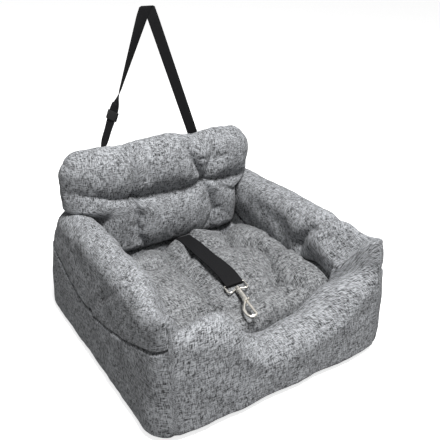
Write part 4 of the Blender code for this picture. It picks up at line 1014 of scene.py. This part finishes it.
LEFT_TWIST = (
    # height, degrees that the left leg has turned
    (0.280, 0), (0.305, 6), (0.325, 34), (0.342, 68), (0.358, 89), (0.385, 94), (0.438, 94), (0.451, 72),
    (0.467, 55.4), (0.4815, 50.7), (0.5105, 41.1), (0.5395, 31.1), (0.5685, 20.2), (0.5975, 7.6),
    (0.612, 0), (0.640, 0),
)


def unit_rows(rows):
    return rows / np.maximum(np.linalg.norm(rows, axis=1, keepdims=True), 1e-12)


def smooth_route(knots, spacing):
    """Places about a spacing apart on a smooth line through knots."""
    knots = np.array(knots, float)
    place = run_length(knots)
    at = np.linspace(0, place[-1], max(int(place[-1] / spacing), 2))
    return np.stack([through(list(zip(place, knots[:, k])), at) for k in range(3)], 1)


def squared(middles, across, width):
    """Half-width vectors square to a line, in the across directions."""
    ahead = unit_rows(np.gradient(middles, axis=0))
    return unit_rows(across - ahead * np.einsum("ij,ij->i", across, ahead)[:, None]) * width / 2


def band(name, middles, halves, finish, thickness=WEBBING_THICKNESS):
    """Webbing along its middle line, with rounded selvedges where its half-width vectors end."""
    face = unit_rows(np.cross(halves, np.gradient(middles, axis=0)))
    width = 2 * np.linalg.norm(halves, axis=1).mean()
    top = [middles + halves * s + face * h * thickness / 2 for s, h in SELVEDGE_SHARES]
    low = [middles + halves * s - face * h * thickness / 2 for s, h in reversed(SELVEDGE_SHARES)]
    rings = np.stack(top + low, 1)
    count, sides = rings.shape[:2]
    shares = np.array([s for s, _ in SELVEDGE_SHARES])
    u = np.concatenate([shares, shares[::-1] + 2.4]) * width / 2
    v = run_length(middles)
    quads = []
    for i in range(count - 1):
        for j in range(sides):
            k = (j + 1) % sides
            quads.append((i * sides + j, i * sides + k, (i + 1) * sides + k, (i + 1) * sides + j))
    for first, turn in ((0, 1), ((count - 1) * sides, -1)):
        for j in range(sides // 2 - 1):
            quads.append(tuple(first + p for p in (j, j + 1, sides - 2 - j, sides - 1 - j)[::-turn]))
    quads = np.array(quads)
    points = rings.reshape(-1, 3)
    uv = np.stack([u[quads % sides], v[quads // sides]], -1)
    return new_piece(name, points, *outward(points, quads, uv), finish)


def tether_route():
    """The tether's middle line and across directions: up behind the cushion, over it, round the eye."""
    x, y, z = TETHER_ROOT
    rear, low = y + TETHER_REAR, z - TETHER_BEND
    places = [(x, rear, low - 0.030), (x, rear, low - 0.012)]
    for angle in np.linspace(0, math.pi / 2, 7, endpoint=False):
        places.append((x, rear - TETHER_BEND * (1 - math.cos(angle)), low + TETHER_BEND * math.sin(angle)))
    across = [(1.0, 0.0, 0.0)] * len(places)
    side = np.array(SNAP_FRAME.to_3x3() @ Vector((0, 1, 0)))
    share = np.linspace(0, 1, 41)
    places += [tuple(p) for p in tether_place(share)]
    ease = smooth_step((share - TURN_START) / TURN_RUN)[:, None]
    across += [tuple(a) for a in np.array((1.0, 0.0, 0.0)) * (1 - ease) + side * ease]
    for step in range(1, 5):
        places.append(tuple(at_snap(-EYE_DEPTH - TETHER_FOLD * (1 - step / 5), 0, EYE_TURN)))
    for angle in np.linspace(0, math.pi, 9):
        back = EYE_TURN * math.sin(angle) - EYE_DEPTH
        places.append(tuple(at_snap(back, 0, EYE_TURN * math.cos(angle))))
    merged = EYE_TURN - WEBBING_THICKNESS - FOLD_GAP
    for back in np.linspace(TETHER_MERGE, TETHER_FOLD, 8):
        places.append(tuple(at_snap(-EYE_DEPTH - back, 0, merged)))
    across += [tuple(side)] * (len(places) - len(across))
    return np.array(places), np.array(across)


tether_line, tether_across = tether_route()
tether = band("tether", tether_line, squared(tether_line, tether_across, TETHER_WIDTH), WEBBING)
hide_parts("tether_webbing", "tether_anchor_webbing")
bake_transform(tether)
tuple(tether_line[0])
run_length(tether_line)[-1]
[tuple(p) for p in tether_line]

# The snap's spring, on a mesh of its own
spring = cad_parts["snap_spring"]
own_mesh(spring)


def leg_place(side, z):
    """Middle of a leg of the headrest strap at a height."""
    return np.array((STRAP_CENTRE + side * (STRAP_SPREAD - (z - STRAP_LEAVES) * STRAP_LEAN), STRAP_PLANE, z))


def leg_turn(side, z):
    """Across direction and face of a leg: flat on the right, and twisted about itself on the left."""
    along = unit_rows((leg_place(side, STRAP_TOP) - leg_place(side, STRAP_LEAVES))[None])[0]
    flat = np.array((along[2], 0.0, -along[0]))
    angle = math.radians(float(through(LEFT_TWIST, np.array([z]))[0])) if side < 0 else 0.0
    across = flat * math.cos(angle) + np.cross(along, flat) * math.sin(angle)
    return across, np.cross(across, along)


def headrest_strap():
    """One length of webbing: up the left leg, folded flat at the top, and down the right leg behind."""
    crease = np.array((STRAP_WIDTH / 2 / math.cos(math.atan(STRAP_LEAN)), 0, 0))
    places, halves = [], []
    for side in (-1, 1):
        fold = []
        for z in np.linspace(STRAP_FOOT, STRAP_TOP - STRAP_FOLD_RADIUS, 150):
            across, _ = leg_turn(side, z)
            level = smooth_step((z - STRAP_TOP + STRAP_FOLD_START) / STRAP_FOLD_EASE)
            out = leg_place(side, z) + np.array((0, side * STRAP_FOLD_RADIUS * level, 0))
            fold.append((out, across * STRAP_WIDTH / 2 * (1 - level) + crease * level))
        fold = fold[::-side]
        places += [p for p, _ in fold]
        halves += [h for _, h in fold]
        if side < 0:
            left, right = leg_place(-1, STRAP_TOP), leg_place(1, STRAP_TOP)
            for angle in np.linspace(0, math.pi, 9)[1:-1]:
                turn = np.array((0, -math.cos(angle), math.sin(angle) - 1)) * STRAP_FOLD_RADIUS
                places.append(left + (right - left) * angle / math.pi + turn)
                halves.append(crease)
    return np.array(places), np.array(halves)


strap_line, strap_halves = headrest_strap()
strap = band("headrest_strap_webbing", strap_line, strap_halves, WEBBING)
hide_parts("headrest_strap")


def tucked(piece, room=0.0015):
    """Lets a cushion give way to the left leg where it turns over behind it."""
    places = places_of(piece)
    turned = np.sin(np.radians(through(LEFT_TWIST, places[:, 2])))
    leg = np.array([leg_place(-1, z)[0] for z in places[:, 2]])
    beside = smooth_step((TUCK_REACH - np.abs(places[:, 0] - leg)) / TUCK_EASE)
    limit = STRAP_PLANE - (STRAP_WIDTH / 2 * turned + room) * beside
    rear = (places[:, 1] > REAR_SIDE) & (places[:, 2] > STRAP_FOOT)
    places[rear, 1] = np.minimum(places[rear, 1], limit[rear])
    move_points(piece, places)


tucked(back_cover)
tail_heights = np.linspace(TAIL_FOOT, TAIL_TOP, 70)
tail_turns = [leg_turn(-1, z) for z in tail_heights]
tail_line = np.array(
    [leg_place(-1, z) - face * TAIL_SPACE / 2 for z, (_, face) in zip(tail_heights, tail_turns)]
)
tail = band("strap_tail", tail_line, np.array([a * STRAP_WIDTH / 2 for a, _ in tail_turns]), WEBBING)
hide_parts("headrest_strap_tail")


def squarish(share, power):
    return np.sign(share) * abs(share) ** power


def keeper_loop():
    """A moulded keeper round both layers of the left leg, turned as they are turned."""
    across, face = leg_turn(-1, KEEPER_PLACE)
    along = np.cross(face, across)
    middle = leg_place(-1, KEEPER_PLACE) - face * TAIL_SPACE / 4
    rings = []
    for angle in np.linspace(0, math.tau, 40, endpoint=False):
        c, q = math.cos(angle), math.sin(angle)
        spot = np.array((squarish(c, 0.45) * KEEPER_HALF[0], squarish(q, 0.45) * KEEPER_HALF[1]))
        out = np.array((c / KEEPER_HALF[0], q / KEEPER_HALF[1]))
        out /= np.linalg.norm(out)
        skin = across * out[0] + face * out[1]
        place = middle + across * spot[0] + face * spot[1]
        ring = []
        for step in np.linspace(0, math.tau, 12, endpoint=False):
            a, b = math.cos(step), math.sin(step)
            lift = squarish(a, 0.4) * KEEPER_WALL / 2
            run = squarish(b, 0.25) * KEEPER_LENGTH / 2
            ring.append(place - skin * KEEPER_WALL / 2 + skin * lift + along * run)
        rings.append(ring)
    rings = np.array(rings)
    count, sides = rings.shape[:2]
    i, j = (g.ravel() for g in np.meshgrid(np.arange(count), np.arange(sides), indexing="ij"))
    k, m = (i + 1) % count, (j + 1) % sides
    quads = np.stack([i * sides + j, k * sides + j, k * sides + m, i * sides + m], 1)
    points = rings.reshape(-1, 3)
    return points, quads if surface_volume(points, quads) > 0 else quads[:, ::-1]


keeper = new_piece("keeper", *keeper_loop(), finish=PLASTIC)
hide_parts("strap_keeper")
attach(keeper, "keeper")
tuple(strap_line[0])
run_length(strap_line)[-1]
[tuple(p) for p in strap_line]

# Cloth pieces sewn on the rear
PATCH_HALF = 0.018
PATCH_THICKNESS = 0.0016
PATCHES = {"left_strap_patch": (-0.156, 0.2433), "right_strap_patch": (0.113, 0.2395)}
PATCH_HEIGHTS = (0.2735, 0.3195)
HINGE_HALF = 0.150
HINGE_THICKNESS = 0.0014
HINGE_PLACES = ((0.2435, 0.078), (0.2435, 0.096), (0.2405, 0.1200), (0.2375, 0.1413), (0.2375, 0.1593))
sewn_patches = []
for name, (x, y) in PATCHES.items():
    line = np.array([(x, y, z) for z in np.linspace(*PATCH_HEIGHTS, 12)])
    patch = band(name + "_cloth", line, np.tile((PATCH_HALF, 0.0, 0.0), (12, 1)), LINEN, PATCH_THICKNESS)
    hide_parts(name)
    sewn_patches.append(patch)
hinge_line = smooth_route([(0, y, z) for y, z in HINGE_PLACES], 0.003)
hinge_halves = np.tile((HINGE_HALF, 0.0, 0.0), (len(hinge_line), 1))
hinge = band("hinge_strip", hinge_line, hinge_halves, LINEN, HINGE_THICKNESS)
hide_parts("backrest_hinge_strip")
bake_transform(hinge)


# Rows of small pieces: stitches, zip teeth and grip dots
def row_group(kind):
    """Node group that sets small pieces along lines, each turned along its line and up from the cloth."""
    tree = bpy.data.node_groups.new("rows_of_" + kind, "GeometryNodeTree")
    tree.interface.new_socket("Lines", in_out="INPUT", socket_type="NodeSocketGeometry")
    names = {"Spacing": "NodeSocketFloat", "Size": "NodeSocketVector", "Finish": "NodeSocketMaterial"}
    for label, socket in names.items():
        tree.interface.new_socket(label, in_out="INPUT", socket_type=socket)
    tree.interface.new_socket("Pieces", in_out="OUTPUT", socket_type="NodeSocketGeometry")
    given = node(tree, "NodeGroupInput").outputs

    def step(step_kind, *links, **settings):
        return node(tree, step_kind, links, **settings).outputs[0]

    curve = step("GeometryNodeMeshToCurve", ("Mesh", given["Lines"]))
    spaced = step("GeometryNodeResampleCurve", ("Curve", curve), ("Length", given["Spacing"]), mode="LENGTH")
    if kind == "blocks":
        shape = step("GeometryNodeMeshCube")
    else:
        shape = step("GeometryNodeMeshUVSphere", ("Segments", 8), ("Rings", 5), ("Radius", 0.5))
    sized = step("GeometryNodeTransform", ("Geometry", shape), ("Scale", given["Size"]))
    tangent = step("GeometryNodeInputTangent")
    facing = step("GeometryNodeInputNamedAttribute", ("Name", "facing"), data_type="FLOAT_VECTOR")
    along = step("FunctionNodeAlignRotationToVector", ("Vector", tangent), axis="X")
    ways = ("Rotation", along), ("Vector", facing)
    up = step("FunctionNodeAlignRotationToVector", *ways, axis="Z", pivot_axis="X")
    placing = ("Points", spaced), ("Instance", sized), ("Rotation", up)
    placed = step("GeometryNodeInstanceOnPoints", *placing)
    real = step("GeometryNodeRealizeInstances", ("Geometry", placed))
    smooth = step("GeometryNodeSetShadeSmooth", ("Geometry", real), ("Shade Smooth", kind != "blocks"))
    finished = step("GeometryNodeSetMaterial", ("Geometry", smooth), ("Material", given["Finish"]))
    node(tree, "NodeGroupOutput", [("Pieces", finished)])
    return tree


ROWS = {kind: row_group(kind) for kind in ("beads", "blocks")}


def rows_of(name, kind, lines, spacing, size, finish, body):
    """Small pieces set along lines, each a row of places and the direction that its pieces face."""
    places, edges, facings = [], [], []
    for line, facing in lines:
        first = len(places)
        places += [tuple(p) for p in line]
        facings += [tuple(facing)] * len(line)
        edges += [(first + i, first + i + 1) for i in range(len(line) - 1)]
    data = bpy.data.meshes.new(name)
    data.from_pydata(places, edges, [])
    data.attributes.new("facing", "FLOAT_VECTOR", "POINT").data.foreach_set("vector", np.ravel(facings))
    made = added(name, data)
    tree = ROWS[kind]
    rows = made.modifiers.new("rows", "NODES")
    rows.node_group = tree
    values = {"Spacing": spacing, "Size": size, "Finish": finish}
    for item in tree.interface.items_tree:
        if item.in_out == "INPUT" and item.name in values:
            rows[item.identifier] = values[item.name]
    made.data = bpy.data.meshes.new_from_object(evaluated(made))
    made.modifiers.clear()
    bpy.data.meshes.remove(data)
    made.data.name = name
    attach(made, body)
    return made


def straight(a, b):
    return np.linspace(a, b, 2)


def box_stitch(middle, right, up, half_width, half_length):
    """Lines of a sewn box with a cross in it, on a face."""
    corners = [middle + right * x * half_width + up * y * half_length for x, y in CORNERS]
    pairs = ((0, 1), (1, 2), (2, 3), (3, 0), (0, 2), (1, 3))
    return [(straight(corners[a], corners[b]), np.cross(right, up)) for a, b in pairs]


CORNERS = ((-1, -1), (1, -1), (1, 1), (-1, 1))
STITCH = (0.0026, 0.0006, 0.0005)
STITCH_SPACING = 0.0036
SEAM_MARGIN = 0.003
HINGE_STITCHES = (
    ("lower", "base", ((0.2443, 0.081), (0.2443, 0.093))),
    ("upper", "backrest", ((0.2383, 0.1445), (0.2383, 0.1565))),
)
RIGHT, UP = np.array((1.0, 0.0, 0.0)), np.array((0.0, 0.0, 1.0))
patch_lines = []
for x, y in PATCHES.values():
    place = np.array((x, y + PATCH_THICKNESS / 2 + 0.0001, sum(PATCH_HEIGHTS) / 2))
    tall = (PATCH_HEIGHTS[1] - PATCH_HEIGHTS[0]) / 2
    patch_lines += box_stitch(place, -RIGHT, UP, PATCH_HALF - SEAM_MARGIN, tall - SEAM_MARGIN)
rows_of("patch_stitches", "beads", patch_lines, STITCH_SPACING, STITCH, WEBBING, "backrest")
snap_turn = SNAP_FRAME.to_3x3()
sewn_back = EYE_DEPTH + (TETHER_MERGE + TETHER_FOLD) / 2
sewn_middle = at_snap(-sewn_back, 0, EYE_TURN + WEBBING_THICKNESS / 2)
fold_lines = box_stitch(
    np.array(sewn_middle),
    np.array(snap_turn @ Vector((1, 0, 0))),
    np.array(snap_turn @ Vector((0, 1, 0))),
    (TETHER_FOLD - TETHER_MERGE) / 2 - 0.001,
    TETHER_WIDTH / 2 - 0.004,
)
rows_of("tether_stitches", "beads", fold_lines, STITCH_SPACING, STITCH, WEBBING, "tether")
hinge_edge = HINGE_HALF - 0.004
for name, body, places in HINGE_STITCHES:
    lines = [(straight((-hinge_edge, y, z), (hinge_edge, y, z)), (0, 1, 0)) for y, z in places]
    rows_of(name + "_hinge_stitches", "beads", lines, STITCH_SPACING, STITCH, WEBBING, body)

# Zips
TEETH_SPACING = 0.0024
TOOTH = (0.0013, 0.0030, 0.0016)
TEETH_LIFT = 0.0008
TEETH_GAP = 0.0010
TAPE_THICKNESS = 0.0012
ZIP_END = 0.004


def zip_run(node_name, body):
    """A zip's woven tape with its two rows of teeth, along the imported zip."""
    low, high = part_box(node_name)
    middle = (low + high) / 2
    line = np.array([(x, middle.y, middle.z) for x in np.linspace(low.x, high.x, 60)])
    halves = np.tile((0.0, 0.0, (high.z - low.z) / 2), (60, 1))
    tape = band(node_name + "_tape", line, halves, TAPE, TAPE_THICKNESS)
    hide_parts(node_name)
    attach(tape, body)
    lines = []
    for side, start in ((1, 0.0), (-1, TEETH_SPACING / 2)):
        y, z = middle.y + TEETH_LIFT, middle.z + side * TEETH_GAP
        ends = (low.x + ZIP_END + start, y, z), (high.x - ZIP_END + start, y, z)
        lines.append((straight(*ends), (0, 1, 0)))
    rows_of(node_name + "_teeth", "blocks", lines, TEETH_SPACING, TOOTH, PLASTIC, body)


zip_run("seat_cushion_zip", "base")
zip_run("backrest_zip", "backrest")

# Underside
PANEL_LOW, PANEL_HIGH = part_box("underside_panel")
DOT_SPACING = 0.016
DOT = (0.0060, 0.0060, 0.0012)
dot_rows = []
for i, y in enumerate(np.arange(PANEL_LOW.y + 0.020, PANEL_HIGH.y - 0.016, DOT_SPACING)):
    shift = DOT_SPACING / 2 * (i % 2)
    ends = ((PANEL_LOW.x + 0.020 + shift, y, 0.0), (PANEL_HIGH.x - 0.028 + shift, y, 0.0))
    dot_rows.append((straight(*ends), (0, 0, -1)))
rows_of("grip_dots", "beads", dot_rows, DOT_SPACING, DOT, RUBBER, "base")

PLATED = ("seat_cushion_zip_slider", "seat_cushion_zip_pull", "backrest_zip_slider", "backrest_zip_pull")
PLATED += ("snap_swivel_eye", "snap_hook_body", "snap_bolt")
OTHERS = (("underside_panel", GRIP), ("base_board", FOAM), ("snap_spring", STEEL))
for name, finish in tuple((name, NICKEL) for name in PLATED) + OTHERS:
    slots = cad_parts[name].data.materials
    slots.clear()
    slots.append(finish)

for piece in (wall_cover, left_roll, right_roll, rear_wall, seat_cover):
    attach(piece, "base")
for piece, slot in ((back_cover, "heather_linen"), (strap, "black_webbing"), (tail, "black_webbing")):
    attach(piece, "backrest")
for patch in sewn_patches:
    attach(patch, "backrest")


# Camera, floor and light
def camera_axes():
    level, down = math.cos(CAMERA_ELEVATION), -math.sin(CAMERA_ELEVATION)
    ahead = Vector((math.sin(CAMERA_AZIMUTH) * level, math.cos(CAMERA_AZIMUTH) * level, down))
    right = ahead.cross(Vector((0, 0, 1))).normalized()
    up = right.cross(ahead)
    turned = right * math.cos(CAMERA_ROLL) + up * math.sin(CAMERA_ROLL)
    return turned, up * math.cos(CAMERA_ROLL) - right * math.sin(CAMERA_ROLL), -ahead


lens = bpy.data.cameras.new("camera")
lens.lens = CAMERA_LENS
lens.sensor_width = 36.0
lens.clip_end = 50.0
camera = added("camera", lens)
camera.matrix_world = Matrix.Translation(CAMERA_PLACE) @ Matrix(camera_axes()).transposed().to_4x4()
bpy.context.scene.camera = camera

FLOOR_HALF = 12
FLOOR_SEEN = 0.95
FLOOR_UNSEEN = 0.35
FLOOR_GLOW = 0.75
WORLD_FILL = 0.18
floor_data = bpy.data.meshes.new("floor")
floor_data.from_pydata([(x * FLOOR_HALF, y * FLOOR_HALF, 0) for x, y in CORNERS], [], [(0, 1, 2, 3)])
floor = added("floor", floor_data)
pale, tree, shader = nodes_of("floor")
set_values(shader, Roughness=0.9, Specular_IOR_Level=0.1)
seen = node(tree, "ShaderNodeLightPath").outputs["Is Camera Ray"]
tree.links.new(ramp(tree, seen, ((0.0, FLOOR_UNSEEN), (1.0, FLOOR_SEEN))), shader.inputs["Base Color"])
shader.inputs["Emission Color"].default_value = (1, 1, 1, 1)
tree.links.new(times(tree, seen, FLOOR_GLOW), shader.inputs["Emission Strength"])
floor_data.materials.append(pale)

world = bpy.data.worlds.new("studio")
world.use_nodes = True
back = world.node_tree.nodes["Background"]
path = world.node_tree.nodes.new("ShaderNodeLightPath")
shown = maths(world.node_tree, "MAXIMUM", path.outputs["Is Camera Ray"], path.outputs["Is Glossy Ray"])
strength = maths(world.node_tree, "MULTIPLY_ADD", shown, 1 - WORLD_FILL, WORLD_FILL)
world.node_tree.links.new(strength, back.inputs["Strength"])
back.inputs["Color"].default_value = (1, 1, 1, 1)
bpy.context.scene.world = world

KEY_PLACE = (-0.05, -0.70, 2.3)
KEY_AIM = (0, 0, 0.1)
light = bpy.data.lights.new("key", "AREA")
light.shape = "DISK"
light.size = 0.7
light.energy = 84
key = added("key", light)
key.location = KEY_PLACE
key.rotation_euler = (Vector(KEY_AIM) - Vector(KEY_PLACE)).to_track_quat("-Z", "Y").to_euler()

bpy.context.scene.view_settings.view_transform = "Standard"
